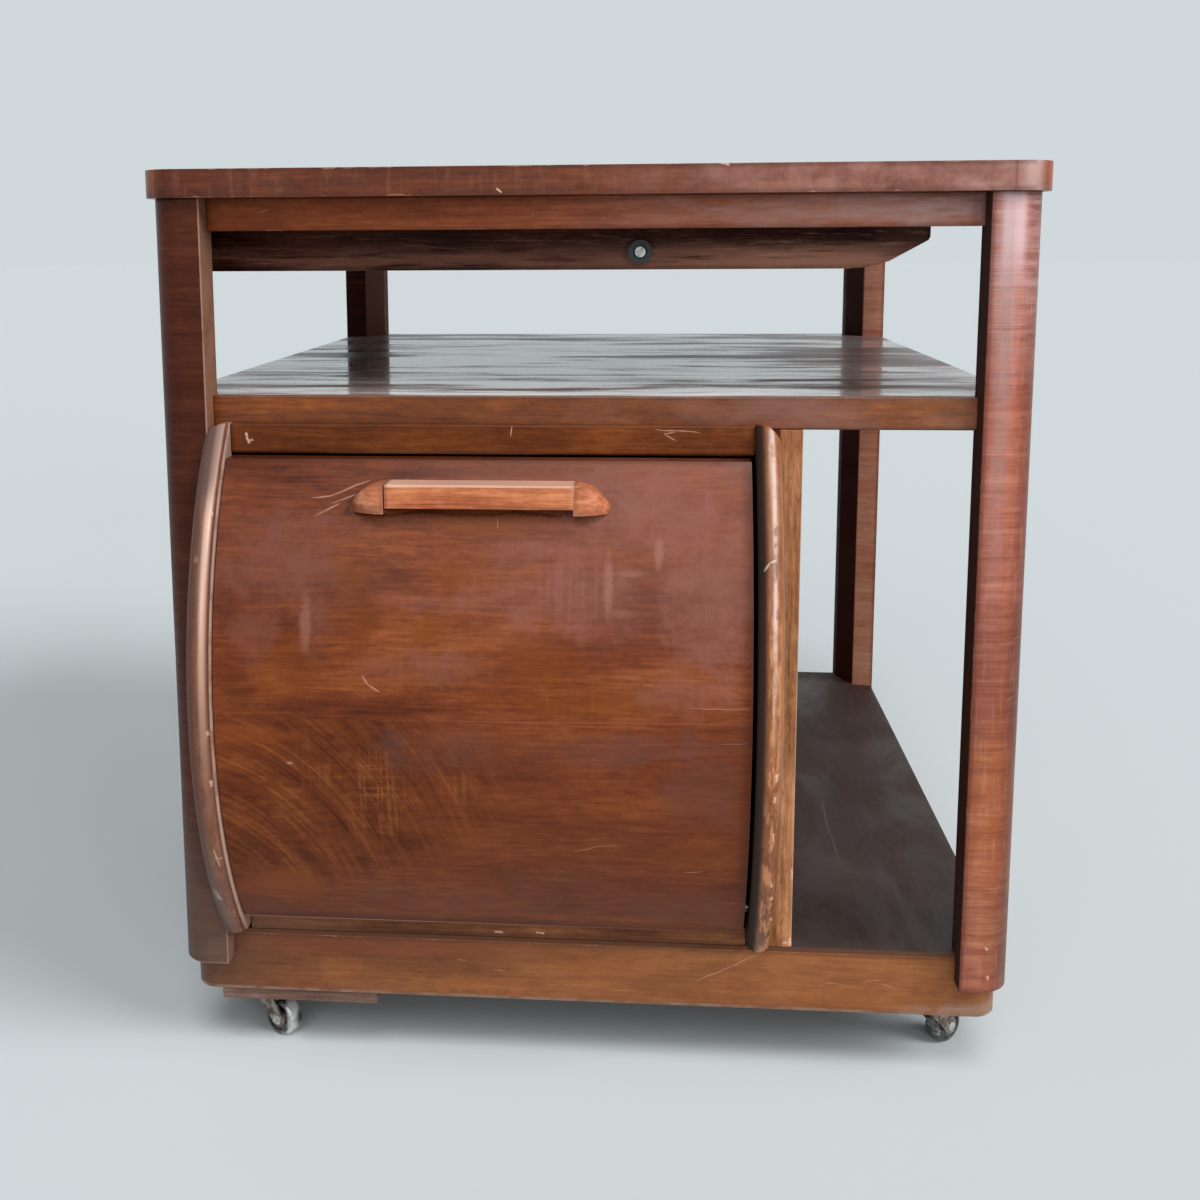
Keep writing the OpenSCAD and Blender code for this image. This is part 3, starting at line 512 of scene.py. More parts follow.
def plinth_material(name, grain, seed):
    wood = Wood(name + "_wood", grain, AMBER, seed=seed, bands=26, reach=0.2, flecks=0.25)
    # Painted shade and light: darker and greyer towards the left end.
    wood.grade(wood.x, [(-0.31, (0.54, 0.53, 0.64)), (0.0, (0.92, 0.94, 0.98)),
                        (0.31, (0.98, 1.0, 1.0))])
    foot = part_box(name)[0].z
    low = wood.step(wood.plus(wood.z, wood.times(wood.patches, 0.005)), foot + 0.0052,
                    foot + 0.0022)
    wood.tint(wood.times(low, 0.55), colour(0.2, 0.13, 0.1), rough=0.2)
    if name == "plinth_front":
        seam = wood.plus(wood.z, wood.times(wood.x, 0.004))
        line = wood.times(wood.between(seam, 0.0846, 0.0852, 0.0004), wood.step(wood.x, 0.02, -0.1))
        wood.tint(wood.times(line, 0.35), colour(0.05, 0.015, 0.006))
        glow = wood.blobs([(-90, 66, 60, 8, 0.7), (10, 84, 50, 9, 0.5), (200, 66, 70, 10, 0.6),
                           (-190, 76, 20, 12, 0.5), (90, 92, 30, 6, 0.4)], wood.patches)
        wood.tint(wood.times(glow, 0.35), colour(0.36, 0.12, 0.03))
        upper = wood.plus(wood.z, wood.times(wood.patches, 0.004))
        red = wood.times(wood.step(upper, 0.085, 0.091), wood.step(wood.x, 0.1, -0.1))
        wood.tint(wood.times(red, 0.45), colour(0.17, 0.045, 0.02))
        # Painted shade: darker again at the left end.
        wood.tint(wood.times(wood.step(wood.x, -0.22, -0.29), 0.4), colour(0.1, 0.055, 0.035))
        wood.scratches([(81, 75, 104, 86, 0.6), (100, 84.5, 131, 100.5, 0.6),
                        (205, 80, 216, 81, 0.7), (217, 78, 226, 75.5, 0.6),
                        (176, 77.4, 190, 77, 0.5), (184, 76, 199, 76.5, 0.5),
                        (-98, 85, -90, 84, 0.4), (-70, 77.5, -60, 77, 0.4),
                        (-200, 70, -186, 69, 0.4)], strength=0.7)
        rub = wood.times(wood.step(wood.x, 0.2, 0.27), wood.step(wood.patches, 0.36, 0.55),
                         wood.step(wood.plus(wood.z, wood.times(wood.x, -0.06)), 0.052, 0.044))
        wood.tint(wood.times(rub, 0.6), colour(0.32, 0.21, 0.16), rough=0.2)
        low_rim = wood.times(wood.step(wood.z, foot + 0.0032, foot + 0.0012),
                             wood.step(wood.patches, 0.4, 0.55))
        wood.tint(wood.times(low_rim, 0.6), colour(0.4, 0.28, 0.22), rough=0.2)
    wood.wear(name, 0.0014, strength=0.5)
    return wood.done(specular=0.2)


def post_material(name, seed, tones=CROSS):
    """Veneer laid across the post, with fine level lines."""
    return Wood(name + "_wood", "xy", tones, seed=seed, bend=0.003, bands=150, reach=0.16,
                flecks=0.25)


def left_post():
    wood = post_material("post_front_left", 1.9)
    # Painted shade: the post is darkened all over, least at the foot.
    wood.grade(wood.z, [(0.08, (0.42, 0.8, 1.0)), (0.2, (0.36, 0.42, 0.5)), (0.45, (0.3, 0.3, 0.3)),
                        (0.65, (0.34, 0.34, 0.34))])
    low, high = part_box("post_front_left")
    inner = wood.step(wood.x, high.x - 0.0004, high.x)
    wood.tint(wood.times(inner, 0.85), colour(0.2, 0.07, 0.032), rough=0.4)
    # Painted shade on the inner side, below the top board.
    under = wood.times(inner, wood.step(wood.z, 0.6, 0.63))
    wood.tint(wood.times(under, 0.6), colour(0.06, 0.02, 0.009))
    line = wood.times(wood.between(wood.x, high.x - 0.001, high.x, 0.0003),
                      wood.step(wood.patches, 0.3, 0.55, 0.3, 1.0))
    foot = wood.step(wood.z, low.z + 0.0015, low.z + 0.0008)
    wood.tint(wood.times(wood.most(wood.times(line, 0.6), wood.times(foot, 0.6)), 0.9),
              colour(0.45, 0.28, 0.2))
    wood.tint(wood.step(wood.z, 0.24, 0.12, 0.0, 0.45), colour(0.13, 0.082, 0.068))
    # Painted reflection: a greyish rim along the outer left edge of the front.
    rim = wood.times(wood.step(wood.x, low.x + 0.0025, low.x + 0.0005),
                     wood.step(wood.y, -0.3, -0.316))
    wood.tint(wood.times(rim, 0.45), colour(0.24, 0.17, 0.15))
    return wood.done(specular=0.12)


def right_post():
    """Pinkish and worn on its front with painted highlights and reflection, redder on the sides,
    with a near-black inner side of painted shade.
    """
    wood = post_material("post_front_right", 3.7)
    front = wood.step(wood.y, -0.3, -0.322)
    wood.leaf(front, PINK, 3.7, bend=0.003, bands=150, reach=0.17, flecks=0.25)
    # Painted light: the front lightens towards the top.
    wood.grade(wood.z, [(0.085, (0.75, 0.66, 0.54)), (0.15, (0.73, 0.66, 0.5)),
                        (0.18, (0.86, 0.73, 0.47)), (0.26, (0.87, 0.77, 0.47)),
                        (0.285, (0.7, 0.6, 0.5)), (0.35, (0.7, 0.6, 0.54)),
                        (0.37, (0.92, 0.82, 0.78)), (0.5, (0.95, 0.83, 0.77)),
                        (0.65, (1.0, 0.92, 0.92))], front)
    # Painted highlight and shade across the front: lighter on its left part, darker where it rounds
    # off to the right.
    wood.grade(wood.x, [(0.2735, (0.97, 1.05, 1.15)), (0.281, (1.15, 1.22, 1.3)),
                        (0.289, (1.06, 1.08, 1.08)), (0.297, (0.62, 0.6, 0.62)),
                        (0.304, (0.45, 0.48, 0.52))], front)
    # Painted reflection: a pale haze on the upper front.
    painted_reflection = wood.times(wood.step(wood.z, 0.5, 0.6, 0.0, 0.5), front)
    wood.haze(0.22, 0.7, 1.0, (30, 30, 210), colour(0.5, 0.3, 0.29), painted_reflection)
    lines = wood.noise(wood.scaled((12, 12, 900), (0.3, 0.1, 0.7)), detail=2)
    wood.tint(wood.times(wood.step(lines, 0.5, 0.36), front, 0.3), colour(0.14, 0.03, 0.016))
    # Painted highlight: a pale column on the left part of the front.
    sheen = wood.times(wood.between(wood.x, 0.2755, 0.2855, 0.004),
                       wood.step(wood.z, 0.3, 0.58, 0.06, 1.0),
                       wood.step(wood.patches, 0.3, 0.6, 0.5, 1.0), front)
    wood.tint(wood.times(sheen, 0.35), colour(0.42, 0.36, 0.37))
    # Painted highlight along the top of the front.
    crown = wood.times(wood.step(wood.z, 0.58, 0.625),
                       wood.between(wood.x, 0.2765, 0.2915, 0.003), front)
    wood.tint(wood.times(crown, 0.7), colour(0.66, 0.46, 0.47))
    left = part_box("post_front_right")[0].x
    # Painted shade along the left edge of the front, where it turns to the inner side.
    side = wood.times(wood.step(wood.x, left + 0.0045, left + 0.0015), front)
    wood.tint(wood.times(side, 0.4), colour(0.14, 0.035, 0.022))
    wood.wiped(0.14, (300, 300, 25), colour(0.6, 0.35, 0.28))
    wood.chips([(287, 118, 287.6, 116.5, 1.2), (289, 96, 289.4, 94.5, 1.4)])
    wood.scratches([(299, 538.5, 308, 540.5, 0.7), (296, 645, 306, 644.6, 0.8),
                    (296, 345, 303, 346, 0.5), (292, 300, 300, 302, 0.6)], zone=front)
    # Painted shade: the inner side is near black.
    inner = wood.step(wood.x, left + 0.0004, left)
    wood.tint(wood.times(inner, 0.9), colour(0.02, 0.005, 0.003), rough=0.55)
    wood.wear("post_front_right", 0.0012, strength=0.4)
    return wood.done(specular=0.22)


def rear_post(name, seed):
    """The left post is near black with painted shade and painted light on its slanted face; the
    right one is paler on its front, with painted shade lower down and on its slanted face.
    """
    right = name.endswith("right")
    wood = post_material(name, seed, CROSS if right else DIM)
    if right:
        wood.leaf(wood.step(wood.y, 0.345, 0.33), PALE, seed, bend=0.003, bands=150, reach=0.16,
                  flecks=0.25)
        # Painted shade: darker lower down, below the shelf.
        wood.grade(wood.z, [(0.1, (0.66, 0.72, 0.66)), (0.45, (0.8, 0.8, 0.76)),
                            (0.6, (1.0, 1.0, 1.0))])
        # Painted shade for the right post's slanted face, darkest low down.
        shade = wood.ramp(wood.z, [(0.4, colour(0.04, 0.007, 0.003)),
                                   (0.55, colour(0.065, 0.026, 0.018))])
    else:
        # Painted light: the left post's slanted face is made much lighter than its near-black wood.
        shade = colour(0.27, 0.125, 0.08)
    inwards = wood.maths("ABSOLUTE", wood.x)
    inner = wood.times(wood.step(inwards, POST_SLANT_X, POST_SLANT_X - 0.0004),
                       wood.step(wood.y, 0.3855, 0.383))
    wood.tint(wood.times(inner, 0.98), shade, rough=0.4)
    seam = wood.times(wood.between(inwards, POST_SLANT_X - 0.0004, POST_SLANT_X + 0.0004, 0.0004),
                      wood.step(wood.y, 0.34, 0.33), wood.step(wood.z, 0.5, 0.51))
    wood.tint(wood.times(seam, 0.5), colour(0.36, 0.2, 0.14))
    wood.wear(name, 0.0012, strength=0.35)
    return wood.done(specular=0.05)


def door_material():
    wood = Wood("door_wood", "x", RED_BROWN, seed=11.4, bend=0.01, bands=24, reach=0.14,
                flecks=0.4, rough=(0.26, 0.42))
    seam = wood.plus(wood.z, wood.times(wood.x, -0.01))
    below = wood.step(seam, BOARD_SEAM_Z + 0.0002, BOARD_SEAM_Z - 0.0002)
    above = wood.maths("SUBTRACT", 1.0, below)
    wood.leaf(below, RED_BROWN, 21.7, bend=0.008, bands=28, reach=0.2, flecks=0.35)
    arcs = wood.blob((-190, 245), (140, 100), wood.clouds, 1.6)
    wood.leaf(wood.times(below, arcs), ARCED, 4.4, bend=0.004, bands=85, reach=0.13, flecks=0.35,
              centre=(-0.29, 0.13, 0.9))
    # Painted shade and light: darker towards the left.
    wood.grade(wood.x, [(-0.255, (0.8, 0.76, 0.62)), (-0.1, (0.92, 0.92, 0.82)),
                        (0.115, (0.94, 0.94, 0.93))])
    # Dark patches in the veneer, and a band of painted shade under the header strip.
    dusk = wood.blobs([(-241, 384, 12, 40, 0.8), (-60, 462, 160, 6, 0.8), (-170, 305, 90, 6, 0.8),
                       (-238, 320, 14, 30, 0.8), (-152, 362, 16, 34, 0.7), (-200, 338, 40, 16, 0.5),
                       (-204, 364, 7, 14, 0.8), (-186, 352, 6, 20, 0.6)], wood.patches)
    wood.tint(wood.times(dusk, above, 0.5), colour(0.075, 0.016, 0.006))
    gold = wood.blobs([(-158, 392, 18, 18, 0.6), (-84, 397, 26, 10, 1.0), (-106, 358, 14, 11, 1.0),
                       (-55, 430, 60, 9, 1.0), (-150, 362, 14, 24, 0.5), (-28, 338, 34, 22, 0.8),
                       (10, 312, 80, 14, 0.8), (-205, 336, 26, 26, 0.4), (-236, 366, 10, 24, 0.4),
                       (60, 306, 60, 7, 0.6), (-100, 330, 50, 12, 0.4)], wood.patches)
    wood.tint(wood.times(gold, above, 0.6), colour(0.17, 0.041, 0.003))
    lower = wood.blobs([(-218, 160, 45, 18, 0.9), (50, 238, 50, 9, 0.5), (-222, 284, 40, 9, 0.7),
                        (-80, 212, 60, 10, 0.4), (-170, 200, 40, 12, 0.4), (60, 190, 60, 10, 0.3),
                        (90, 215, 30, 40, 0.4)], wood.patches)
    wood.tint(wood.times(lower, below, 0.55), colour(0.22, 0.055, 0.01))
    # Painted reflection: a mauve veil on the upper left.
    veil = wood.blobs([(-208, 402, 56, 44, 1.0), (-226, 356, 18, 26, 0.8),
                       (-182, 370, 12, 30, 0.9)], wood.patches)
    wood.haze(0.15, 0.68, 0.85, (60, 10, 36), colour(0.165, 0.054, 0.036), wood.times(veil, above))
    # Painted reflection: pinkish sheen patches, mostly on the upper right.
    sheen_patches = wood.blobs([(50, 440, 75, 40, 1.0), (85, 380, 45, 70, 1.0), (-10, 385, 70, 32, 0.8),
                         (-110, 335, 60, 14, 0.5), (-90, 378, 60, 8, 0.6), (-70, 452, 90, 8, 0.5),
                         (-20, 412, 60, 8, 0.7), (70, 320, 40, 20, 0.6)], wood.patches)
    # Painted highlight: an even lighter tint over the upper right.
    even = wood.times(wood.step(wood.x, -0.12, 0.04), wood.step(wood.z, 0.32, 0.4), above)
    wood.tint(wood.times(even, 0.4), colour(0.18, 0.06, 0.043))
    wood.haze(0.12, 0.72, 0.85, (50, 10, 60), colour(0.235, 0.088, 0.064),
              wood.times(sheen_patches, above))
    cool = wood.blobs([(-90, 276, 55, 22, 0.8), (-95, 148, 80, 20, 0.7), (20, 280, 90, 14, 0.8),
                       (80, 250, 40, 40, 0.6), (70, 148, 60, 22, 0.5), (-10, 165, 60, 30, 0.4)],
                      wood.patches)
    wood.haze(0.2, 0.7, 0.65, (30, 10, 14), colour(0.125, 0.052, 0.04), wood.times(cool, below))
    wood.wiped(0.3, (330, 1, 9), colour(0.28, 0.12, 0.095), zone=sheen_patches)
    line = wood.times(wood.between(seam, BOARD_SEAM_Z - 0.0005, BOARD_SEAM_Z - 0.0001, 0.0003),
                      wood.step(wood.x, -0.2, -0.02))
    wood.tint(wood.times(line, 0.45), colour(0.36, 0.15, 0.09))
    hatch = wood.blobs([(-142, 240, 30, 50, 1.0), (-186, 262, 26, 30, 0.6), (-84, 250, 18, 20, 0.6),
                        (-10, 312, 30, 12, 0.8)], wood.patches)
    wood.wiped(0.4, (420, 1, 12), colour(0.34, 0.12, 0.035), 0.5, 0.62, hatch)
    wood.wiped(0.25, (12, 1, 420), colour(0.34, 0.12, 0.035), 0.52, 0.64, hatch)
    low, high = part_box("door_panel")
    # Painted shade along the bottom, along the right side next to the moulding and along the top.
    rims = wood.most(wood.step(wood.z, low.z + 0.011, low.z + 0.002),
                     wood.step(wood.x, high.x - 0.0102, high.x + 0.0003),
                     wood.step(wood.z, high.z - 0.0039, high.z + 0.0001))
    wood.tint(wood.times(rims, 0.55), colour(0.05, 0.012, 0.005))
    # Painted highlight: a thin pale line along the bottom edge, strongest on the left.
    lip = wood.times(wood.between(wood.z, low.z, low.z + 0.0007, 0.0002),
                     wood.step(wood.x, 0.08, -0.15, 0.2, 1.0))
    wood.tint(wood.times(lip, 0.6), colour(0.45, 0.25, 0.17))
    wood.scratches([(-150.5, 327.5, -146, 321, 1.1), (-147, 322, -138, 316.5, 1.1),
                    (-190, 445, -175, 446.5, 0.9), (-179, 445.5, -150, 457, 1.0),
                    (-176, 441, -136, 455, 1.0), (-187, 433, -170, 441, 1.1),
                    (-6.8, 199, 24, 206, 0.5), (70, 182.5, 84, 184, 0.5),
                    (-59.5, 432, -59, 425, 0.5), (-205, 264.6, -200.5, 264, 1.6),
                    (70, 309, 112, 310, 0.4), (92, 285, 112, 286, 0.4)],
                   colour(0.46, 0.24, 0.16), 0.65)
    shadow = wood.strokes([(-165, 434, -163, 442, 2.6), (-163.5, 441, -157, 448, 2.2),
                           (-158, 447, -149, 451.5, 1.6), (-164, 434.4, -90, 435, 1.6),
                           (-110, 434.8, -16, 434.4, 1.6)], wood.fine)
    wood.tint(wood.times(shadow, 0.7), colour(0.035, 0.009, 0.005))
    rubs = wood.blobs([(17, 390, 4, 26, 1.0), (51, 411, 4, 13, 1.0), (32, 398, 14, 3, 0.6),
                       (-190, 362, 5, 24, 0.8), (26, 372, 12, 4, 0.5)], wood.fine, 1.0)
    wood.tint(wood.times(rubs, 0.3), colour(0.4, 0.2, 0.16), rough=0.15)
    return wood.done(0.25, specular=0.12)


def moulding_material(name, seed, tones):
    return Wood(name + "_wood", "z", tones, seed=seed, bands=50, reach=0.16, flecks=0.3,
                rough=(0.24, 0.36))


def left_moulding():
    wood = moulding_material("moulding_left", 6.6, BROWN)
    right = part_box("moulding_left")[1].x
    bead = wood.times(wood.between(wood.x, right - 0.0007, right + 0.0001, 0.0003),
                      wood.step(wood.patches, 0.3, 0.55, 0.4, 1.0))
    wood.tint(wood.times(bead, 0.75), colour(0.55, 0.38, 0.32))
    groove = wood.between(wood.x, right - 0.0019, right - 0.0011, 0.0003)
    wood.tint(wood.times(groove, 0.5), colour(0.06, 0.024, 0.014))
    # Painted shade: the left half of the moulding is darker, and more of it at the head.
    head = wood.times(wood.step(wood.z, 0.425, 0.455),
                      wood.step(wood.x, right - 0.004, right - 0.006))
    shade = wood.most(wood.step(wood.x, right - 0.008, right - 0.013), head)
    wood.tint(wood.times(shade, 0.85), colour(0.08, 0.022, 0.009), rough=0.35)
    # Painted reflection: a paler strip along the far left flank.
    flank = wood.step(wood.x, right - 0.0157, right - 0.0167)
    wood.tint(wood.times(flank, 0.5), colour(0.2, 0.11, 0.085))
    # Painted highlight just right of the middle.
    glow = wood.times(wood.between(wood.x, right - 0.0067, right - 0.0027, 0.0013),
                      wood.step(wood.z, 0.2, 0.42))
    wood.tint(wood.times(glow, 0.7), colour(0.7, 0.42, 0.31))
    # Painted shade at the head, on the part next to the door.
    cap = wood.times(wood.step(wood.z, 0.425, 0.462),
                     wood.step(wood.x, right - 0.002, right - 0.004))
    wood.tint(wood.times(cap, 0.75), colour(0.09, 0.05, 0.042), rough=0.3)
    wood.chips([(-266, 406, -266, 405, 2.4)], colour(0.34, 0.17, 0.1), 0.5)
    wood.chips([(-258.5, 436, -258, 434, 0.9), (-258, 288, -257.7, 285, 1.1),
                (-257.6, 251, -257.6, 247, 1.1)], strength=0.6)
    wood.scratches([(-261.5, 195.5, -259.5, 179.5, 1.1), (-262, 187, -257, 186.4, 1.0)], BARE, 0.5)
    wood.chips([(-267.5, 156, -265.5, 150, 2.8)], colour(0.55, 0.45, 0.38), 0.7)
    grime = wood.times(wood.step(wood.z, 0.23, 0.16),
                       wood.step(wood.x, right - 0.0055, right - 0.0125))
    wood.tint(wood.times(grime, 0.6), colour(0.1, 0.07, 0.055), rough=0.15)
    return wood.done(0.15, specular=0.55)


def right_moulding():
    """Rich brown with a narrow painted highlight and painted shade beside the door, worn to orange
    lower down.
    """
    wood = moulding_material("moulding_right", 8.3, HONEY)
    wood.grade(wood.z, [(0.1, (0.42, 0.32, 0.26)), (0.2, (0.7, 0.54, 0.4)),
                        (0.34, (0.72, 0.56, 0.42)), (0.5, (0.66, 0.52, 0.4))])
    worn = wood.noise(wood.scaled((260, 90, 45), (0.2, 0.6, 1.1)), detail=4, rough=0.7)
    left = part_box("moulding_right")[0].x
    worn = wood.times(wood.step(worn, 0.46, 0.6),
                      wood.between(wood.x, left + 0.005, left + 0.015, 0.003),
                      wood.step(wood.z, 0.42, 0.34, 0.2, 1.0))
    wood.tint(wood.times(worn, 0.75), colour(0.56, 0.24, 0.1), rough=0.1)
    # Painted shade on the left side, next to the door.
    shade_side = wood.step(wood.x, left + 0.0077, left + 0.003)
    wood.tint(wood.times(shade_side, 0.93), colour(0.01, 0.003, 0.001), rough=0.5)
    # Painted highlight.
    glow = wood.times(wood.between(wood.x, left + 0.009, left + 0.0117, 0.001),
                      wood.step(wood.z, 0.26, 0.38))
    wood.tint(wood.times(glow, wood.step(wood.patches, 0.36, 0.54, 0.3, 1.0), 0.65),
              colour(0.74, 0.56, 0.48))
    flank = wood.step(wood.x, left + 0.0137, left + 0.016)
    wood.tint(wood.times(flank, 0.45), colour(0.3, 0.12, 0.045))
    wood.chips([(128.6, 430, 128.6, 425, 1.5), (128.4, 419.5, 128.3, 417, 1.2),
                (128.8, 408, 129, 400, 1.0), (129.5, 378, 129, 372, 1.2)],
               colour(0.12, 0.045, 0.03), 0.6)
    wood.scratches([(120.4, 403, 124.3, 408.7, 1.1), (124.3, 408.7, 128.5, 410, 1.0)],
                   colour(0.8, 0.62, 0.5), 0.9)
    wood.chips([(131, 167.5, 131.2, 166.5, 1.4), (131.8, 146, 132, 145, 1.6),
                (130, 182, 130.4, 178, 0.9), (129.6, 250, 129.4, 246, 0.8),
                (130.5, 268, 130.2, 263, 1.4), (129.4, 222, 129.6, 216, 1.0)])
    return wood.done(0.25, specular=0.4)


def partition_material():
    """Golden along its front edge, and red-brown on the sides."""
    wood = Wood("partition_wood", "z", GOLDEN, seed=2.9, bands=40, reach=0.15)
    front = wood.step(wood.y, -0.3115, -0.3135)
    wood.leaf(front, HONEY, 2.9, bend=0.004, bands=120, reach=0.12, flecks=0.6)
    low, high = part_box("partition")
    edge = wood.times(wood.step(wood.x, high.x - 0.0008, high.x - 0.0003), front)
    wood.tint(wood.times(edge, 0.55), colour(0.5, 0.33, 0.22))
    shade = wood.times(wood.step(wood.x, low.x + 0.0045, low.x), front)
    wood.tint(wood.times(shade, 0.5), colour(0.1, 0.035, 0.014))
    wood.chips([(150, 164, 150.6, 159, 1.5), (149.8, 111, 150.4, 107.5, 1.8),
                (145, 107.8, 149.6, 109.8, 0.9)], zone=front)
    return wood.done()


def handle_material(name, seed, tones=ORANGE):
    return Wood(name + "_wood", "x", tones, seed=seed, bend=0.012, bands=130, reach=0.13,
                flecks=0.5, rough=(0.3, 0.45))


def grip_material():
    wood = handle_material("handle_grip", 3.3)
    lines = wood.noise(wood.scaled((14, 1, 420), (1.2, 0, 0.4)), detail=2, warp=0.6)
    wood.tint(wood.step(lines, 0.54, 0.62, 0.0, 0.55), colour(0.2, 0.05, 0.018))
    low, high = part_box("handle_grip")
    # Painted highlight along the top edge.
    top = wood.step(wood.z, high.z - 0.002, high.z - 0.0009)
    wood.tint(wood.times(top, 0.6), colour(0.82, 0.55, 0.42))
    # Painted light: the right end is lighter.
    right = wood.step(wood.x, high.x - 0.005, high.x + 0.0002)
    wood.tint(wood.times(right, 0.35), colour(0.62, 0.3, 0.17))
    # Painted shade at the left end.
    left = wood.step(wood.x, low.x + 0.0035, low.x + 0.0008)
    wood.tint(wood.times(left, 0.6), colour(0.16, 0.05, 0.022))
    return wood.done(specular=0.35)


def grip_end_material(name, seed):
    wood = handle_material(name, seed, END_GRAIN)
    if name.endswith("left"):
        # Painted shade: the left end darkens outwards and along its underside.
        outer = wood.step(wood.x, -0.152, -0.164)
        wood.tint(wood.times(outer, 0.5), colour(0.13, 0.05, 0.03))
        wood.tint(wood.times(wood.step(wood.z, 0.4425, 0.4405), 0.5), colour(0.16, 0.05, 0.025))
    wood.wear(name, 0.001, colour(0.75, 0.5, 0.38), strength=0.5)
    return wood.done(specular=0.35)


def plain_wood(name, grain, seed, tones):
    wood = Wood(name + "_wood", grain, tones, seed=seed, rough=(0.35, 0.5))
    wood.wear(name, 0.0015, strength=0.4)
    return wood.done(specular=0.15)


def tray_side_material(name, seed):
    wood = Wood(name + "_wood", "x", DIM, seed=seed, bands=60, rough=(0.34, 0.5))
    # Painted shade: the pale marks stay off the upper band, which is left near black below the
    # rail, and grow towards the right end, where more light falls.
    low = wood.step(wood.z, 0.625, 0.606)
    pale_marks = wood.noise(wood.scaled((9, 9, 120), (3.0, 0, 1.0)), detail=4, rough=0.7)
    right = wood.step(wood.x, -0.05, 0.2, 0.3, 1.0)
    wood.tint(wood.times(low, wood.step(pale_marks, 0.36, 0.56), right, 0.85), colour(0.42, 0.19, 0.13))
    # Painted light: lighter at the right end.
    wood.tint(wood.times(wood.step(wood.x, 0.195, 0.235), 0.5), colour(0.13, 0.058, 0.042))
    worn = wood.noise(wood.scaled((26, 26, 420), (1.0, 0, 2.0)), detail=5, rough=0.75, warp=0.3)
    wood.tint(wood.times(wood.step(worn, 0.54, 0.62), wood.step(pale_marks, 0.4, 0.56), right, 0.55),
              colour(0.4, 0.19, 0.12), rough=0.15)
    wood.wear(name, 0.0014, colour(0.24, 0.1, 0.06), strength=0.5)
    wood.scratches([(-150, 620, -60, 612, 0.4), (60, 612, 160, 619, 0.4),
                    (-250, 611, -170, 614, 0.4), (20, 622, 44, 606, 0.4)],
                   colour(0.26, 0.11, 0.07), 0.5)
    return wood.done(specular=0.08)


def block_material():
    wood = Wood("block_wood", "x", GREYED, seed=4.9, rough=(0.6, 0.8))
    return wood.done(0.6, specular=0.1)


def metal_material(name, shade, rough, metallic=0.9, grime=None, scale=300):
    metal = Shader(name)
    spots = metal.noise(metal.scaled((scale, scale, scale)), detail=4, rough=0.7)
    tint = metal.ramp(spots, [(0.34, colour(*[v * 0.45 for v in shade])), (0.62, colour(*shade))])
    if grime is not None:
        broad = metal.noise(metal.scaled((90, 90, 90)), detail=4, rough=0.7)
        tint = metal.mix(tint, grime, metal.step(broad, 0.46, 0.6, 0.0, 0.85))
    normal = metal.bump(spots, 0.25, FINE_BUMP_DEPTH)
    return metal.finish(tint, metal.step(spots, 0.3, 0.7, rough + 0.22, rough), normal,
                        metallic=metallic)


def wheel_material(name, band_highlight):
    """Dark polymer with pale scuffs and a painted highlight: a bright band on one side, as strong
    as band_highlight.
    """
    wheel = Shader(name + "_tread")
    spots = wheel.noise(wheel.scaled((70, 70, 110)), detail=4, rough=0.65)
    fine = wheel.noise(wheel.scaled((800, 800, 800)), detail=3)
    scuffs = wheel.step(wheel.plus(spots, wheel.times(fine, 0.2)), 0.62, 0.74)
    shade = wheel.mix(colour(0.012, 0.011, 0.0105), colour(0.4, 0.385, 0.37),
                      wheel.times(scuffs, 0.7))
    low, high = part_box(name)
    width = high[0] - low[0]
    start = low[0] + width * 0.64
    end = low[0] + width * 0.9
    # Painted highlight: a bright band on one side of the tread.
    pale_marks = wheel.times(wheel.between(wheel.x, start, end, 0.0016),
                         wheel.step(wheel.y, high[1] - 0.006, low[1] + 0.006),
                         wheel.step(spots, 0.3, 0.5, 0.6, 1.0), band_highlight)
    shade = wheel.mix(shade, colour(0.66, 0.66, 0.66), pale_marks)
    normal = wheel.bump(fine, 0.15, FINE_BUMP_DEPTH)
    return wheel.finish(shade, wheel.step(spots, 0.35, 0.65, 0.16, 0.34), normal, specular=0.8,
                        coat=0.6)


for name, material in {
        "top_board": top_material, "middle_shelf": shelf_material,
        "header_strip": header_material, "sill_strip": sill_material,
        "floor_board": floor_material, "post_front_left": left_post,
        "post_front_right": right_post, "door_panel": door_material,
        "moulding_left": left_moulding, "moulding_right": right_moulding,
        "partition": partition_material, "handle_grip": grip_material,
        "castor_blocks": block_material}.items():
    dress([name], material())
for number, (name, grain) in enumerate([("rail_front", "x"), ("rail_rear", "x"),
                                        ("rail_left", "y"), ("rail_right", "y")]):
    dress([name], rail_material(name, grain, 2.3 + number))
for number, (name, grain) in enumerate([("plinth_front", "x"), ("plinth_rear", "x"),
                                        ("plinth_left", "y"), ("plinth_right", "y")]):
    dress([name], plinth_material(name, grain, 5.3 + number))
for name, material, seed in [("post_rear_left", rear_post, 6.1),
                             ("post_rear_right", rear_post, 8.3),
                             ("handle_end_left", grip_end_material, 5.5),
                             ("handle_end_right", grip_end_material, 7.5),
                             ("tray_side_front", tray_side_material, 8.8),
                             ("tray_side_rear", tray_side_material, 9.9)]:
    dress([name], material(name, seed))
inner_boards = {
    "tray_front": "y", "tray_back": "y", "tray_bottom": "x", "runner_front": "x",
    "runner_rear": "x", "compartment_side": "z", "door_guide": "z", "box_cheek_left": "z",
    "box_cheek_right": "z", "box_floor": "x", "box_back": "x",
}
for number, (name, grain) in enumerate(inner_boards.items()):
    dress([name], plain_wood(name, grain, 12.1 + number * 1.3, DIM))
dress(["compartment_back"], plain_wood("compartment_back", "z", 31.0, RED_BROWN))

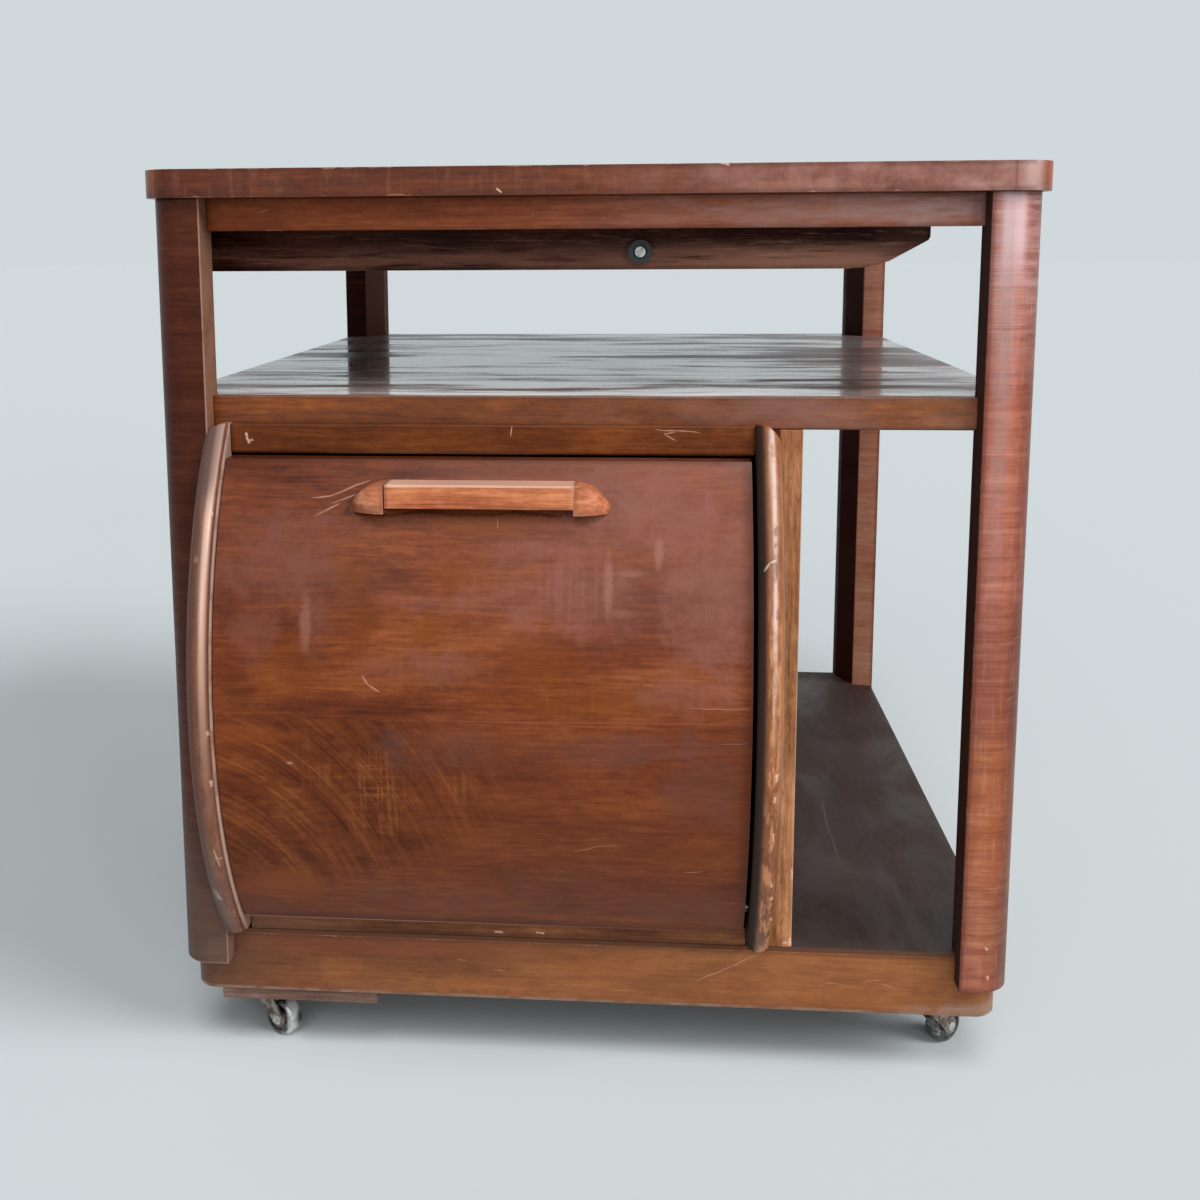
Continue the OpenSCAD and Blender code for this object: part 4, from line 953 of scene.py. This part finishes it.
corners = ["front_left", "front_right", "rear_left", "rear_right"]
steel = metal_material("bright_steel", (0.7, 0.69, 0.66), 0.22)
dull = metal_material("dull_metal", (0.42, 0.36, 0.31), 0.34, grime=colour(0.11, 0.06, 0.04),
                      scale=140)
rubber = metal_material("black_rubber", (0.02, 0.02, 0.021), 0.3, 0.0)
dress(["castor_screws", "buffer_screw"] + ["axle_" + c for c in corners], steel)
dress(["pivot_pin_left", "pivot_pin_right"], dull)
dress(["fork_" + c for c in corners] + ["castor_plate_" + c for c in corners], dull)
dress(["buffer_ring"], rubber)
for corner in corners:
    band_highlight = 0.85 if corner == "front_left" else 0.15
    dress(["wheel_" + corner], wheel_material("wheel_" + corner, band_highlight))

soften(["top_board"], 0.0025)
soften(["middle_shelf", "plinth_front", "plinth_rear"], 0.0015)
soften(["header_strip"], 0.003)
soften(["rail_front", "rail_rear", "rail_left", "rail_right", "partition", "sill_strip",
        "plinth_left", "plinth_right", "tray_side_front", "tray_side_rear", "tray_front"], 0.001)
soften(["handle_grip", "handle_end_left", "handle_end_right"], 0.0015)
soften(["post_" + c for c in corners], 0.001)
soften(["moulding_left", "moulding_right"], 0.0008, 2)
soften(["castor_blocks", "tray_back", "runner_front", "runner_rear", "box_back"], 0.0006, 2)

# Stage.
FLOOR_REACH = 40.0
floor_mesh = bpy.data.meshes.new("floor")
floor_mesh.from_pydata(
    [(-FLOOR_REACH, -FLOOR_REACH, 0), (FLOOR_REACH, -FLOOR_REACH, 0),
     (FLOOR_REACH, FLOOR_REACH, 0), (-FLOOR_REACH, FLOOR_REACH, 0)], [], [(0, 1, 2, 3)])
floor = bpy.data.objects.new("floor", floor_mesh)
bpy.context.scene.collection.objects.link(floor)
plain = Shader("floor")
floor_mesh.materials.append(plain.finish(BACKGROUND, 1.0, specular=0.0))

# Light: a faint even sky and four soft lamps.
AMBIENT = 0.15
world = bpy.data.worlds.new("world")
bpy.context.scene.world = world
sky = Nodes(world)
rays = sky.add("ShaderNodeLightPath").outputs
seen = sky.most(rays["Is Camera Ray"], rays["Is Glossy Ray"], rays["Is Transmission Ray"])
ambient = sky.add("ShaderNodeBackground", [(0.97, 0.99, 1.0, 1), AMBIENT])
backdrop = sky.add("ShaderNodeBackground", [BACKGROUND])
choose = sky.add("ShaderNodeMixShader", [seen, ambient.outputs[0], backdrop.outputs[0]])
sky.add("ShaderNodeOutputWorld", [choose.outputs[0]])


def sun(name, to_light, strength, spread):
    lamp = bpy.data.lights.new(name, "SUN")
    lamp.energy = strength
    lamp.angle = math.radians(spread)
    holder = bpy.data.objects.new(name, lamp)
    bpy.context.scene.collection.objects.link(holder)
    holder.rotation_euler = Vector(to_light).to_track_quat("Z", "Y").to_euler()


sun("right_light", (0.75, -0.38, 0.58), 2.1, 30)
sun("top_light", (0.05, -0.6, 1.0), 1.2, 20)
sun("front_light", (-0.1, -0.85, 0.5), 0.75, 40)
sun("low_light", (0.53, -0.83, 0.21), 0.5, 14)

camera_data = bpy.data.cameras.new("camera")
camera = bpy.data.objects.new("camera", camera_data)
bpy.context.scene.collection.objects.link(camera)
camera.location = CAMERA_PLACE
camera.rotation_euler = CAMERA_TURN
camera_data.sensor_width = SENSOR
camera_data.lens = FOCAL_PIXELS / IMAGE_SIZE * SENSOR
camera_data.shift_x = (IMAGE_SIZE / 2 - PRINCIPAL_X) / IMAGE_SIZE
camera_data.shift_y = (PRINCIPAL_Y - IMAGE_SIZE / 2) / IMAGE_SIZE
bpy.context.scene.camera = camera
bpy.context.scene.view_settings.view_transform = "Standard"
